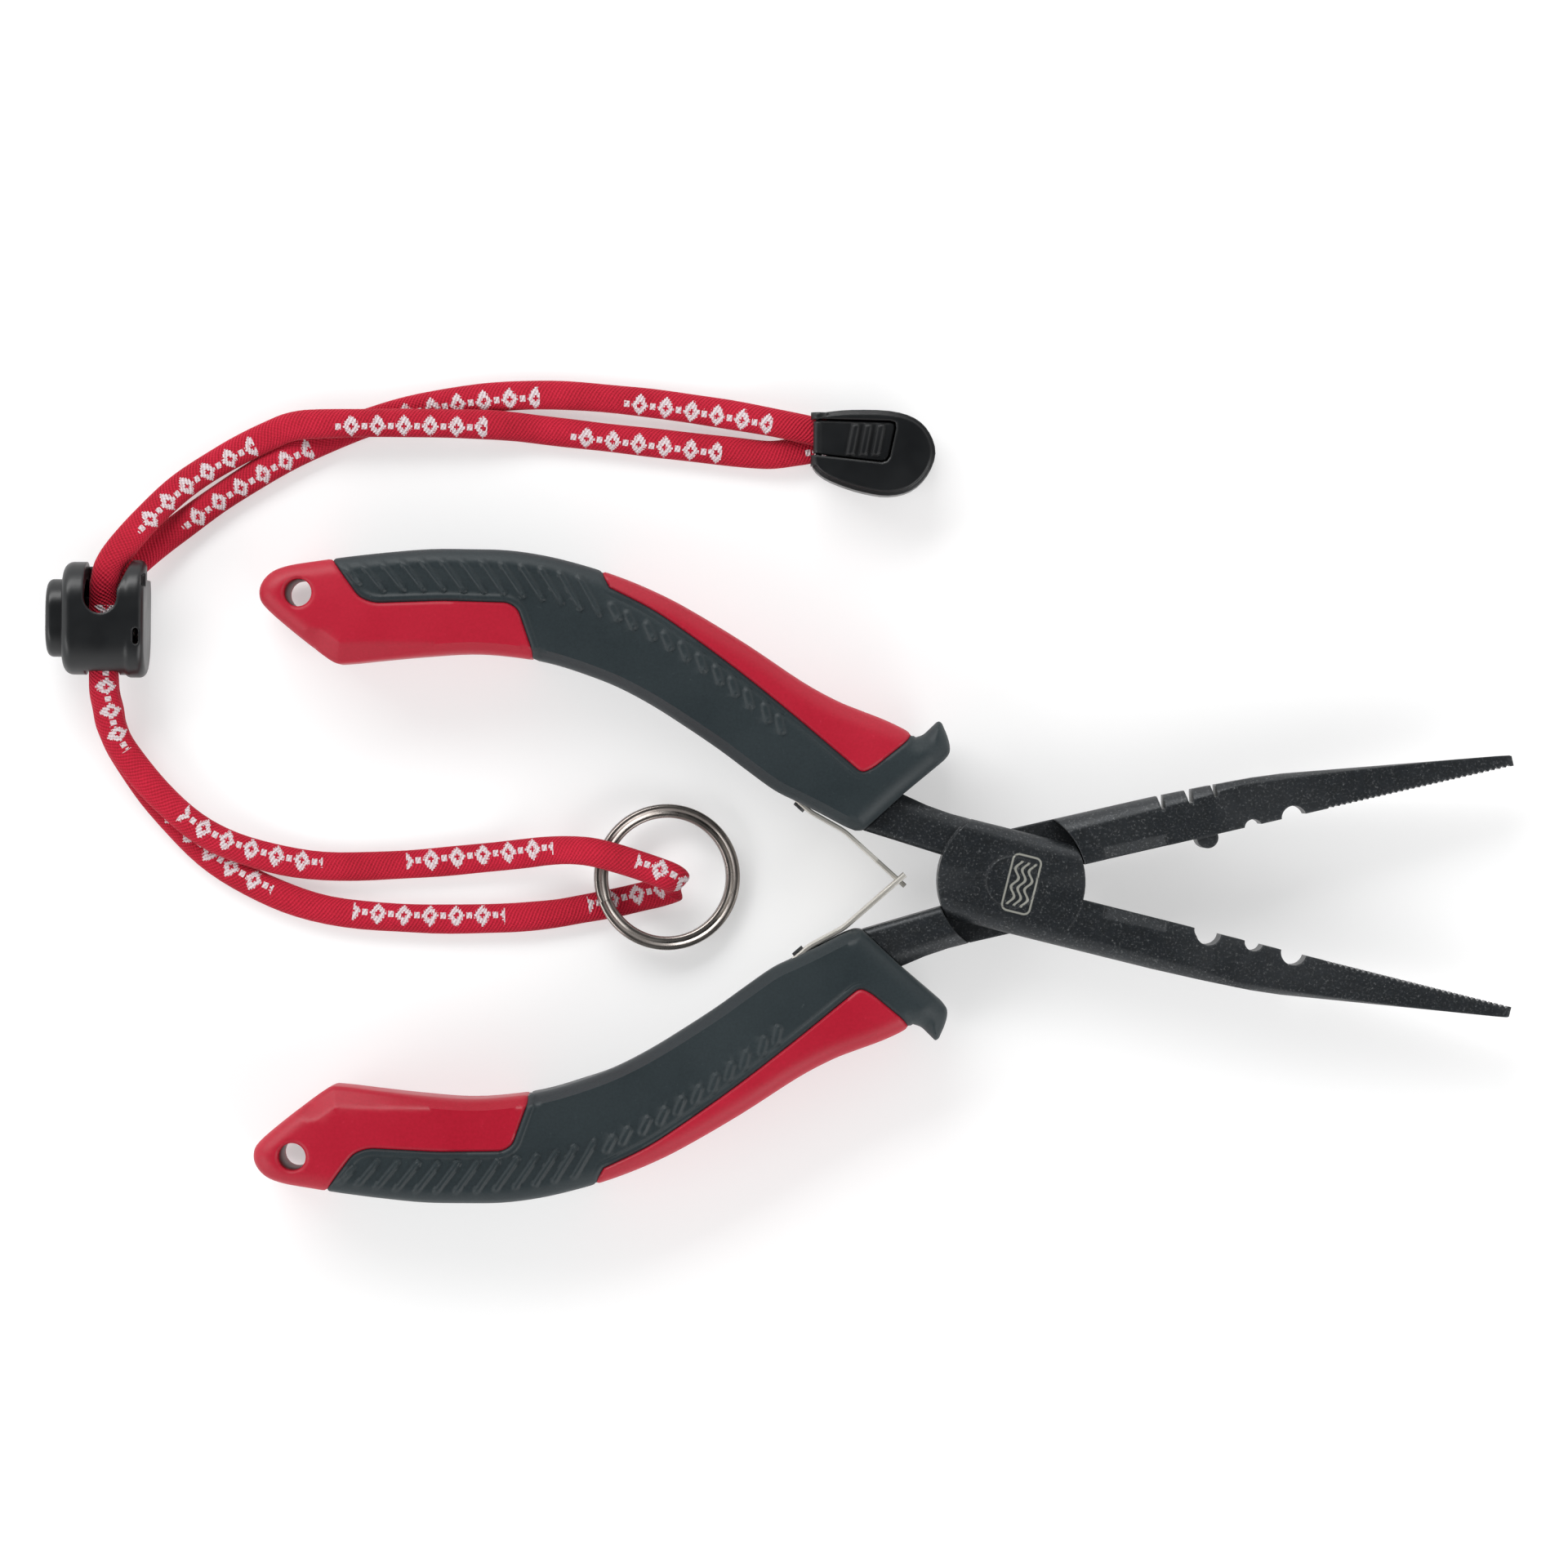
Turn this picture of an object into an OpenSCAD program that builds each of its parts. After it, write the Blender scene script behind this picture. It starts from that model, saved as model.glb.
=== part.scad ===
// Long-nose fishing pliers with a lanyard.
// All sizes are in millimetres. The pliers lie flat on z = 0 with their jaws towards +X.
// Every plan outline is drawn about the pivot, in the closed position: handle at +Y, its jaw at -Y.
// The front half is then swung open clockwise, and the back half is its mirror image.

/* [Pliers] */
// Distance of the pivot from the part's origin
pivot_x = 20; // [19:0.5:21]
// Half of the opening between the jaws, in degrees
open_angle = 13.5; // [6:0.5:15]
// Thickness of the grips, which the pliers lie on
grip_thick = 16; // [15:0.5:18]

/* [Jaws] */
// Reach of the jaws from the pivot
jaw_reach = 82; // [81:0.5:84]
// Depth of one jaw at its root
jaw_depth = 8.1; // [7.8:0.1:8.4]
// Half thickness of a jaw at its root
jaw_half = 5; // [4.6:0.1:5.4]
// Half thickness of a jaw at its tip
tip_half = 1.6; // [1.2:0.1:2.2]
// Space between the closed jaw faces
jaw_gap = 0.1; // [0.06:0.02:0.3]
// Pitch of the gripping teeth
tooth_pitch = 0.94; // [0.8:0.02:1.1]
// Number of gripping teeth on each jaw
tooth_count = 32; // [20:1:32]
// Depth of the gripping teeth
tooth_depth = 0.4; // [0.2:0.05:0.5]
// Radius of the rounded back of the jaws
back_round = 3.2; // [2.5:0.1:3.4]

/* [Joint] */
// Radius of each half's lap plate
lap_r = 11.7; // [11.5:0.1:12]
// Space between the lap plates, and round them in plan
lap_gap = 0.1; // [0.06:0.02:0.2]
// Radius of the rivet's shank
rivet_r = 3; // [2.5:0.1:3.5]
// Radius of the rivet's countersunk heads
rivet_head_r = 4.2; // [4:0.1:4.6]
// Radial running clearance of the rivet
rivet_clearance = 0.04; // [0.02:0.01:0.08]

/* [Springs] */
// Thickness of the leaf springs
leaf_thick = 0.6; // [0.4:0.05:0.7]
// Width of the leaf springs
leaf_width = 8; // [7:0.5:9]
// Length of a leaf from its bend to its tip
leaf_length = 13; // [12.5:0.1:13.2]

/* [Tail holes] */
// Radius of the lanyard hole in each grip
tail_hole_r = 2.2; // [1.8:0.1:2.4]

/* [Split ring] */
// Distance of the ring's centre behind the pivot
ring_x = 55; // [54.5:0.5:56]
// Outer radius of the ring
ring_r = 11.7; // [11.4:0.1:11.8]
// Width of the ring's wire
ring_wire = 2.2; // [2:0.1:2.2]
// Height of the ring's two coils together
ring_height = 2.2; // [2:0.1:2.2]
// Tilt of the ring, which lies on one strand of the lanyard
ring_tilt = 7; // [6.5:0.5:7.5]

/* [Lanyard] */
// Width of the flat tubular cord
cord_width = 4.7; // [4.4:0.1:4.8]
// Thickness of the flat tubular cord
cord_thick = 2; // [1.6:0.1:2]

/* [Cord lock] */
// Length of the lock's body
lock_length = 13.2; // [13:0.1:13.6]
// Half height of the lock's body
lock_half = 6.3; // [6.1:0.1:6.5]
// How far the button can be pressed in
lock_travel = 1.4; // [1:0.1:1.4]
// Clearance round the sliding button
slide_clearance = 0.15; // [0.1:0.05:0.2]

/* [Cord clip] */
// Thickness of the clip
clip_thick = 8.8; // [8.6:0.1:9.2]
// Wall thickness of the clip
clip_wall = 1.3; // [1:0.1:1.5]

/* [Hidden] */
$fn = 64;

steel_colour = [0.19, 0.20, 0.21];
red_colour = [0.72, 0.12, 0.21];
grey_colour = [0.17, 0.21, 0.23];
cord_colour = [0.78, 0.09, 0.22];
plastic_colour = [0.07, 0.07, 0.08];
bright_colour = [0.62, 0.62, 0.60];
nickel_colour = [0.36, 0.32, 0.30];

far = 200;
skin = 0.01;
mid_z = grip_thick / 2;

// ---- curves and plan outlines ----

// A point on the smooth curve from b to c, with neighbours a and d
function between(a, b, c, d, t) = 0.5 * (2 * b + (c - a) * t
    + (2 * a - 5 * b + 4 * c - d) * t * t + (3 * b - a - 3 * c + d) * t * t * t);

// A smooth open curve through the points p, with n steps between each two
function smooth(p, n) = let(last = len(p) - 1) concat(
    [for (i = [0:last - 1], j = [0:n - 1])
        between(p[max(i - 1, 0)], p[i], p[i + 1], p[min(i + 2, last)], j / n)],
    [p[last]]);

function unit(v) = v / norm(v);

function left_of(v) = [-v[1], v[0]] / norm(v);

// The corner at b, between a and c, moved to the left by d
function corner(a, b, c, d) = let(m = left_of(b - a), n = left_of(c - b)) b + d * (m + n) / (1 + m * n);

// How far q is from the edge a to b
function reach(q, a, b) = let(t = (q - a) * (b - a) / ((b - a) * (b - a)))
    norm(q - a - min(1, max(0, t)) * (b - a));

// A closed anticlockwise outline moved inwards by d, without the corners that would cross over
function inset(p, d) = let(n = len(p)) [for (i = [0:n - 1])
    let(q = corner(p[(i + n - 1) % n], p[i], p[(i + 1) % n], d))
    if (min([for (k = [0:n - 1]) reach(q, p[k], p[(k + 1) % n])]) >= 0.97 * abs(d)) q];

// Outer edge of the grip, from the finger guard back to the tail
grip_outer = [
    [-19.6, 18.3], [-22.5, 19.3], [-26, 20], [-30, 20.5], [-34, 21.1], [-40, 22.7],
    [-50, 26.3], [-60, 29.4], [-66, 30.8], [-72, 31.7], [-78, 32.1], [-84, 32.1],
    [-90, 31.5], [-96, 30.2], [-102, 28.7], [-108, 26.7], [-114, 24.5], [-119, 22.5],
];
// Round end of the tail
grip_tail = [
    [-119, 22.5], [-123, 20.8], [-125.4, 19.2], [-126.6, 17.2], [-126.6, 15.2],
    [-125.3, 13.5], [-121, 11.2], [-116, 8.9],
];
// Inner edge of the grip, from the tail's corner forward to the steel tang
grip_inner = [
    [-116, 8.9], [-112.6, 7.6], [-110.6, 7.9], [-105, 9.9], [-99, 12], [-92, 14.2],
    [-86, 15.3], [-80, 15.8], [-74, 15.5], [-68, 14.7], [-62, 13.2], [-56, 11.2],
    [-50, 9], [-45, 6.9], [-40, 4.9], [-36, 4], [-32, 3.1], [-28, 2.1], [-26, 1.8],
];
grip_front = [[-24.8, 2.1], [-20, 9.3], [-16.6, 14.2], [-16.8, 16.6]];

// The three runs share their end points, so each drops its last one
function open_end(p) = [for (i = [0:len(p) - 2]) p[i]];
grip_outline = concat(grip_front, open_end(smooth(grip_outer, 2)), open_end(smooth(grip_tail, 3)),
    smooth(grip_inner, 2));

// Finger guard, a flange that stands out of the grip's front end
guard_outline = [
    [-22, 13], [-19.6, 9.6], [-14.9, 16.2], [-14.4, 17.4], [-14.7, 18.6], [-16.8, 21.7],
    [-17.4, 21.9], [-19.1, 19.2], [-20.3, 18.2],
];

// Where the softer red shows: the tail, and a panel on the outer side
tail_mask = [
    [-140, -10], [-82, -10], [-82, 15], [-82.4, 16.9], [-86.2, 22.8], [-88, 23.4],
    [-98, 21.2], [-108.5, 18.2], [-111, 18.5], [-117, 23.6], [-117.4, 40], [-140, 40],
];
panel_mask = [
    [-27.4, 11.5], [-25.8, 12.1], [-21, 18.7], [-20.6, 40], [-75.2, 40], [-74.8, 31.9],
    [-73, 29.6], [-60, 25.8], [-50, 21.8], [-40, 17.4], [-29, 12],
];

// The grip's section in three slabs: [bottom, top, inset]
grip_slabs = [
    [-mid_z, -mid_z + 4.5, 2],
    [-mid_z + 4.5, mid_z - 3, 0],
    [mid_z - 3, mid_z, 1.3],
];
core_half = 5.2;
core_inset = 3.4;

// Steel strip inside the grip, and the wider root that the spring is riveted to
strip_upper = smooth([
    [-19, 8.2], [-24, 9.6], [-30, 12], [-40, 17], [-50, 21], [-60, 24.4], [-70, 26.4],
    [-80, 27], [-90, 26], [-100, 23], [-104, 21.4],
], 2);
strip_lower = smooth([
    [-104, 15.6], [-100, 17], [-90, 19.8], [-80, 21], [-70, 20.4], [-60, 18.2],
    [-50, 14.6], [-42, 10.8], [-38, 7], [-32, 4.6], [-26, 3.2], [-19, 3],
], 2);
strip_half = 2.2;

// The steel tang between the joint and the grip
tang_outline = [
    [-6, 8.05], [-12, 8.1], [-16, 8.5], [-20, 9.25], [-24.7, 2.15], [-11.8, 1.4], [-6, 1.4],
];
tang_half = 4.6;

// The back of a jaw, from its root to its tip
jaw_back = [
    [6, -jaw_depth], [25, -8.05], [33, -7.85], [41, -7.5], [46, -7.05], [50, -6.5],
    [60, -5], [66, -4.2], [74, -3.1], [jaw_reach - 0.3, -1.8], [jaw_reach, -1.6],
];
jaw_face = -jaw_gap / 2;
jaw_outline = concat(jaw_back, [[jaw_reach, jaw_face], [6, jaw_face]]);
taper_start = 46;
taper_angle = 8.3;
teeth_x = 51.5;
cutter_start = 15.4;
cutter_end = 25.5;
cutter_bevel = 2.3;
cutter_land = jaw_half - 1.2;

// The leaf spring: its foot on the grip's inner edge, and the hinge line at its bend
foot_points = [[-38, 5.3], [-33.6, 2.95], [-27.9, 1.4]];
bend_point = [-27.6, 1.3];
leaf_angle = -28.1;
tongue_length = 5.5;
tongue_half = 1.4;
fork_half = 1.9;
spring_rivet_r = 1;
spring_rivet_at = [-35.2, 3.8];
spring_rivet_angle = 62;

// Lanyard: the cord's centreline from the clip to the ring, and back to the clip
cord_route = [
    [-25, 69.6, 3.9], [-31, 71.3, 4.3], [-48, 74.6, 1.3], [-74, 77.1, 1.1], [-97, 74.4, 1.1],
    [-117, 66.4, 1.1], [-133.5, 55.3, 1.3], [-142.9, 46.8, 4.4], [-144.9, 42.6, 5.1],
    [-144.9, 31.5, 4.8], [-144.3, 26, 2.9], [-141.8, 18.5, 1.2], [-128.6, 3, 1.1], [-109, -5.9, 1.1],
    [-82, -6.9, 1.1], [-68, -5.2, 1.1], [-59.2, -3.3, 1.15], [-55.1, -2.2, 1.9], [-53.2, -1.1, 4.1],
    [-55.2, 0.5, 6.4], [-66, 3.8, 6.5], [-74, 4, 3.6], [-84, 2.8, 1.5], [-110, 1.2, 1.2],
    [-129, 6.5, 3.2], [-141.6, 19, 3.6], [-144.4, 26.4, 5.3], [-144.9, 31.5, 6.9], [-144.9, 42.6, 7.6],
    [-144.5, 46.8, 8.3], [-142.4, 51.4, 7.1], [-133, 61.9, 2.2], [-119, 70.2, 2], [-110, 72, 3.3],
    [-86, 72.2, 2.6], [-74, 71.3, 1.1], [-46, 68.4, 1.1], [-38, 67.9, 1.4], [-31, 68.9, 2.25],
    [-25, 67.8, 2.7],
];
cord_sides = 10;
cord_line = smooth(cord_route, 2);
// The line's point at the tip of the loop, after which the strand runs back on top
fold_point = 36;

lock_at = [-144.9, 40.4, lock_half];
lock_x0 = -151.2 - lock_at[0];
lock_spread = 5.4;
plunger_half = 4.7;
plunger_spread = 3;
plunger_x0 = -153.8 - lock_at[0];
plunger_x1 = -141.3 - lock_at[0];
lock_end_wall = 0.9;
stem_half = 3.5;
cord_slot_half = 2.7;
cord_slot_z0 = 3.5 - lock_half;
cord_slot_z1 = 8.9 - lock_half;

clip_outline = smooth([
    [-31.6, 73.9], [-32.2, 70], [-32.4, 66.4], [-31, 64.4], [-28, 62.9], [-24, 61.7],
    [-20, 61.2], [-16.4, 62.1], [-13.8, 64.6], [-12.6, 68], [-13.6, 71.3], [-16, 73.6],
    [-20, 74.7], [-26, 74.8], [-30, 74.4], [-31.6, 73.9],
], 3);
clip_ring = open_end(clip_outline);
clip_floor = 1.2;
clip_ceiling = 5.4;
ledge = 1;
lid_outline = [
    [-31, 67.7], [-21.2, 66.7], [-20.5, 66.9], [-20.1, 67.5], [-19.2, 71.9], [-19.3, 72.6], [-19.9, 72.8],
    [-31, 73],
];
lid_bottom = 6.5;
lid_thick = 1.9;
lid_gap = 0.3;
lid_hinge = [-31.2, 7.45];
ear_r = 1.3;
ears = [[65.8, 67.5], [73.2, 74.3]];
knuckle_r = 0.9;
knuckle_y = [67.8, 72.9];
trunnion_r = 0.5;
trunnion_y = [67, 73.5];
knot_at = [-21, 68.2, 3.3];
knot_r = 4.4;
knot_height = 3.8;

// ---- shared shapes ----

// Puts what is drawn about the pivot in its place in the part
module placed() {
    translate([pivot_x, 0, 0]) children();
}

// The front half's pieces: drawn about the joint's middle plane, closed, then opened
module front_side() {
    translate([pivot_x, 0, mid_z]) rotate([0, 0, -open_angle]) children();
}

// The back half's pieces: the same, turned over about X so that its lap plate is underneath
module back_side() {
    translate([pivot_x, 0, mid_z]) rotate([0, 0, open_angle]) mirror([0, 1, 0]) mirror([0, 0, 1])
        children();
}

// As back_side, but for pieces that keep their own way up
module lower_side() {
    translate([pivot_x, 0, mid_z]) rotate([0, 0, open_angle]) mirror([0, 1, 0]) children();
}

module slab(outline, z0, z1) {
    translate([0, 0, z0]) linear_extrude(z1 - z0) polygon(outline);
}

// A bar along +X with a section from y0 to y1, rounded by r0 and r1 at its two edges
module rounded_bar(length, y0, y1, half, r0, r1) {
    rotate([90, 0, 90]) linear_extrude(length) {
        translate([y0 + r0, -half]) square([y1 - y0 - r0 - r1, 2 * half]);
        for (edge = [[y0, r0, 1], [y1, r1, -1]]) if (edge[1] > 0) {
            for (side = [-1, 1])
                translate([edge[0] + edge[2] * edge[1], side * (half - edge[1])]) circle(edge[1]);
            translate([edge[0] + (edge[2] < 0 ? -edge[1] : 0), edge[1] - half])
                square([edge[1], 2 * (half - edge[1])]);
        }
    }
}

// Section of a rounded plate: length along x, from its axis to r
module plate_section(length, r, edge) {
    square([length, r - edge]);
    translate([edge, 0]) square([length - 2 * edge, r]);
    for (x = [edge, length - edge]) translate([x, r - edge]) circle(edge);
}

// A rounded oval barrel along +X, with two round ends spread apart along Y
module barrel(length, r, spread, edge) {
    for (side = [-1, 1]) translate([0, side * spread / 2, 0]) rotate([0, 90, 0]) rotate_extrude()
        rotate([0, 0, 90]) mirror([0, 1]) plate_section(length, r, edge);
    translate([0, spread / 2, 0]) rotate([90, 0, 0]) linear_extrude(spread) {
        plate_section(length, r, edge);
        mirror([0, 1]) plate_section(length, r, edge);
    }
}

// ---- steel halves ----

module teeth_comb() {
    zigzag = [for (i = [0:tooth_count - 1], j = [0, 1])
        [teeth_x + (i + j / 2) * tooth_pitch, j == 0 ? jaw_face + 0.03 : jaw_face - tooth_depth]];
    end_x = teeth_x + tooth_count * tooth_pitch;
    slab(concat([[teeth_x, 2]], zigzag, [[end_x, jaw_face + 0.03], [end_x, 2]]), -jaw_half - 1, jaw_half + 1);
}

module round_cut(x, y, r) {
    translate([x, y, -jaw_half - 1]) cylinder(r = r, h = 2 * jaw_half + 2);
}

// The side cutters' bevels, ground on both sides down to the cutting land
module cutter_bevels() {
    for (side = [-1, 1]) translate([cutter_start, 0, 0]) rotate([90, 0, 90])
        linear_extrude(cutter_end - cutter_start)
            polygon([[-cutter_bevel, side * (jaw_half + 0.01)], [2, side * (jaw_half + 0.01)],
                [2, side * cutter_land], [jaw_face, side * cutter_land]]);
}

module jaw_blank() {
    intersection() {
        slab(jaw_outline, -jaw_half, jaw_half);
        rotate([90, 0, 0]) translate([0, 0, -1]) linear_extrude(20)
            polygon([[5, -jaw_half], [33, -jaw_half + 0.3], [60, -3.2], [jaw_reach + 1, -tip_half],
                [jaw_reach + 1, tip_half], [60, 3.2], [33, jaw_half - 0.3], [5, jaw_half]]);
        rounded_bar(far, -jaw_depth, 12, jaw_half, back_round, 0);
        translate([taper_start, -7.05, 0]) rotate([0, 0, taper_angle]) translate([-80, 0, 0])
            rounded_bar(far, 0, 30, jaw_half, back_round, 0);
    }
}

// The tang, with its long edges rounded
module tang_blank() {
    intersection() {
        slab(tang_outline, -tang_half, tang_half);
        translate([-20, 9.3, 0]) rotate([0, 0, -6.4]) translate([-10, 0, 0])
            rounded_bar(40, -12, 0, tang_half, 0, 3);
        translate([-24.7, 2.1, 0]) rotate([0, 0, -3.3]) translate([-10, 0, 0])
            rounded_bar(40, 0, 12, tang_half, 1.2, 0);
    }
}

// Lap plate of the front half, above the joint's middle plane
module lap_plate() {
    intersection() {
        translate([0, 0, lap_gap / 2]) cylinder(r = lap_r, h = far, $fn = 96);
        translate([-20, 0, 0]) rounded_bar(40, -jaw_depth, jaw_depth, jaw_half, back_round, 2.4);
    }
}

module half_body() {
    difference() {
        union() {
            difference() {
                union() {
                    jaw_blank();
                    tang_blank();
                }
                translate([0, 0, -far + lap_gap / 2])
                    cylinder(r = lap_r + 2 * lap_gap, h = far, $fn = 96);
            }
            lap_plate();
            slab(concat(strip_upper, strip_lower), -strip_half, strip_half);
        }
        rivet_hole();
        cutter_bevels();
        teeth_comb();
        spring_rivet();
    }
}

module rivet_hole() {
    translate([0, 0, -far / 2]) cylinder(r = rivet_r + rivet_clearance, h = far);
    for (side = [0, 1]) mirror([0, 0, side]) translate([0, 0, jaw_half - rivet_head_r + rivet_r])
        cylinder(r1 = rivet_r + rivet_clearance, r2 = rivet_head_r + rivet_clearance + 0.5,
            h = rivet_head_r - rivet_r + 0.5);
}

// The lower jaw's face has three round notches
module front_half() {
    color(steel_colour) front_side() difference() {
        half_body();
        round_cut(32.25, -0.25, 2);
        round_cut(31.4, 0, 1.5);
        round_cut(39.6, 0.1, 1.5);
        round_cut(46.15, 0, 2.05);
    }
}

// The upper jaw has a round nib, two notches and three slots in its back
module back_half() {
    color(steel_colour) back_side() difference() {
        union() {
            half_body();
            intersection() {
                translate([31.85, 0.15, -4.4]) cylinder(r = 1.7, h = 8.8);
                translate([28, -2, -far / 2]) cube([8, 4, far]);
            }
        }
        round_cut(39.3, 0.35, 1.45);
        round_cut(45.95, 0.25, 2);
        for (slot = [[26.05, 0.55], [30.55, 0.65], [34.6, 0.45]])
            slab([[slot[0] - slot[1] / 2, -5.8], [slot[0] + slot[1] / 2, -5.8],
                [slot[0] + slot[1] + 0.1, -9], [slot[0] - slot[1] - 0.1, -9]], -jaw_half - 1, jaw_half + 1);
    }
}

module pivot_rivet() {
    color(steel_colour) translate([pivot_x, 0, mid_z]) {
        translate([0, 0, -jaw_half]) cylinder(r = rivet_r, h = 2 * jaw_half);
        for (side = [0, 1]) mirror([0, 0, side]) translate([0, 0, jaw_half - rivet_head_r + rivet_r])
            cylinder(r1 = rivet_r, r2 = rivet_head_r, h = rivet_head_r - rivet_r);
    }
}

// ---- grips ----

module grip_blank() {
    for (s = grip_slabs) slab(inset(grip_outline, s[2]), s[0], s[1]);
    slab(guard_outline, -mid_z + 1.2, mid_z - 1.2);
}

module inside_cuts() {
    slab(concat(strip_upper, strip_lower), -strip_half, strip_half);
    slab(tang_outline, -tang_half, tang_half);
    spring_foot_solid();
    spring_rivet();
}

module tail_hole() {
    translate([-120.6, 16.9, -far / 2]) cylinder(r = tail_hole_r, h = far);
}

module core_slab() {
    slab(inset(grip_outline, core_inset), -core_half, core_half);
}

module grip_core() {
    difference() {
        union() {
            core_slab();
            intersection() {
                grip_blank();
                union() {
                    slab(tail_mask, -far / 2, far / 2);
                    slab(panel_mask, -far / 2, far / 2);
                }
            }
        }
        inside_cuts();
        tail_hole();
    }
}

module grip_cover() {
    difference() {
        grip_blank();
        slab(tail_mask, -far / 2, far / 2);
        slab(panel_mask, -far / 2, far / 2);
        core_slab();
        inside_cuts();
    }
}

module upper_grip_core() {
    color(red_colour) front_side() grip_core();
}

module upper_grip_cover() {
    color(grey_colour) front_side() grip_cover();
}

module lower_grip_core() {
    color(red_colour) lower_side() grip_core();
}

module lower_grip_cover() {
    color(grey_colour) lower_side() grip_cover();
}

// ---- leaf springs ----

module strip_between(a, b, half_width) {
    t = unit(b - a);
    n = [-t[1], t[0]] * leaf_thick / 2;
    slab([a + n, a - n, b - n, b + n], -half_width, half_width);
}

module spring_foot_solid() {
    strip_between(foot_points[0], foot_points[1], leaf_width / 2);
    strip_between(foot_points[1], foot_points[2], leaf_width / 2);
    translate([foot_points[1][0], foot_points[1][1], -leaf_width / 2])
        cylinder(r = leaf_thick / 2, h = leaf_width);
}

module spring_rivet() {
    translate([spring_rivet_at[0], spring_rivet_at[1], 0]) rotate([0, 90, spring_rivet_angle])
        translate([0, 0, -0.9]) cylinder(r = spring_rivet_r, h = 4.4);
}

module spring_foot() {
    difference() {
        spring_foot_solid();
        spring_rivet();
    }
}

// tongue: the blade ends in a narrow tongue, or else in a fork that the tongue passes through
module spring_blade(tongue) {
    translate([bend_point[0], bend_point[1], 0]) rotate([0, 0, leaf_angle]) difference() {
        translate([0, -leaf_thick / 2, -leaf_width / 2]) cube([leaf_length, leaf_thick, leaf_width]);
        translate([leaf_length - tongue_length, -1, 0]) {
            if (tongue) for (side = [0, 1]) mirror([0, 0, side])
                translate([0, 0, tongue_half]) cube([far, 2, leaf_width]);
            else translate([0, 0, -fork_half]) cube([far, 2, 2 * fork_half]);
        }
    }
}

module upper_spring_foot() {
    color(bright_colour) front_side() spring_foot();
}

module upper_spring_blade() {
    color(bright_colour) front_side() spring_blade(true);
}

module upper_spring_rivet() {
    color(bright_colour) front_side() spring_rivet();
}

module lower_spring_foot() {
    color(bright_colour) lower_side() spring_foot();
}

module lower_spring_blade() {
    color(bright_colour) lower_side() spring_blade(false);
}

module lower_spring_rivet() {
    color(bright_colour) lower_side() spring_rivet();
}

// ---- split ring ----

// Two flattened coils, one on the other, with the wire's end cut through the upper one
module split_ring() {
    coil = ring_height / 2;
    edge = 0.48;
    color(nickel_colour) placed()
        translate([-ring_x + ring_r, 0, 0]) rotate([0, ring_tilt, 0]) translate([-ring_r, 0, 0]) difference() {
            rotate_extrude($fn = 96) for (z = [0, coil]) translate([ring_r - ring_wire, z]) {
                translate([edge, 0]) square([ring_wire - 2 * edge, coil]);
                translate([0, edge]) square([ring_wire, coil - 2 * edge]);
                for (x = [edge, ring_wire - edge], y = [edge, coil - edge]) translate([x, y]) circle(edge, $fn = 24);
            }
            rotate([0, 0, 213]) translate([ring_r - ring_wire - 1, -0.25, coil]) cube([ring_wire + 2, 0.5, coil + 1]);
        }
}

// ---- lanyard cord ----

function cord_tangent(i) = let(last = len(cord_line) - 1)
    unit(cord_line[min(i + 1, last)] - cord_line[max(i - 1, 0)]);

// Across the flat cord: level, and kept the same way round the folded tip of the loop
function cord_across(i) = let(
    t = cord_tangent(i), level = norm([t[0], t[1]]),
    share = min(1, max(0, (level - 0.35) / 0.25)),
    turn = i < fold_point ? 1 : -1)
    unit(share * turn * [-t[1], t[0], 0] / max(level, 0.01) + (1 - share) * [0, 1, 0]);

module lanyard_cord() {
    rings = [for (i = [0:len(cord_line) - 1]) let(a = cord_across(i), b = unit(cross(cord_tangent(i), a)))
        [for (k = [0:cord_sides - 1]) cord_line[i] + a * cord_width / 2 * cos(360 * k / cord_sides)
            + b * cord_thick / 2 * sin(360 * k / cord_sides)]];
    last = len(rings) - 1;
    points = [for (r = rings, p = r) p];
    sides = [for (i = [0:last - 1], k = [0:cord_sides - 1]) let(n = (k + 1) % cord_sides)
        [i * cord_sides + k, i * cord_sides + n, (i + 1) * cord_sides + n, (i + 1) * cord_sides + k]];
    caps = [[for (k = [cord_sides - 1:-1:0]) k], [for (k = [0:cord_sides - 1]) last * cord_sides + k]];
    color(cord_colour) placed() polyhedron(points, concat(sides, caps));
}

// A flat overhand knot that joins the cord's two ends inside the clip
module end_knot() {
    edge = knot_height / 2 - skin;
    color(cord_colour) placed() translate(knot_at) rotate_extrude() {
        translate([0, -knot_height / 2]) square([knot_r - edge, knot_height]);
        intersection() {
            translate([knot_r - edge, 0]) circle(knot_height / 2);
            translate([0, -far / 2]) square([far, far]);
        }
    }
}

// ---- cord lock ----

module cord_passage(x0, x1) {
    translate([x0, -far / 2, cord_slot_z0]) cube([x1 - x0, far, cord_slot_z1 - cord_slot_z0]);
}

// A narrow moulded hole through the flange's wall
module flange_hole(x, y, half) {
    translate([x, y, 3]) {
        for (end = [-half, half]) translate([0, end, 0]) cylinder(r = 0.45, h = 5);
        translate([-0.45, -half, 0]) cube([0.9, 2 * half, 5]);
    }
}

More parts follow.
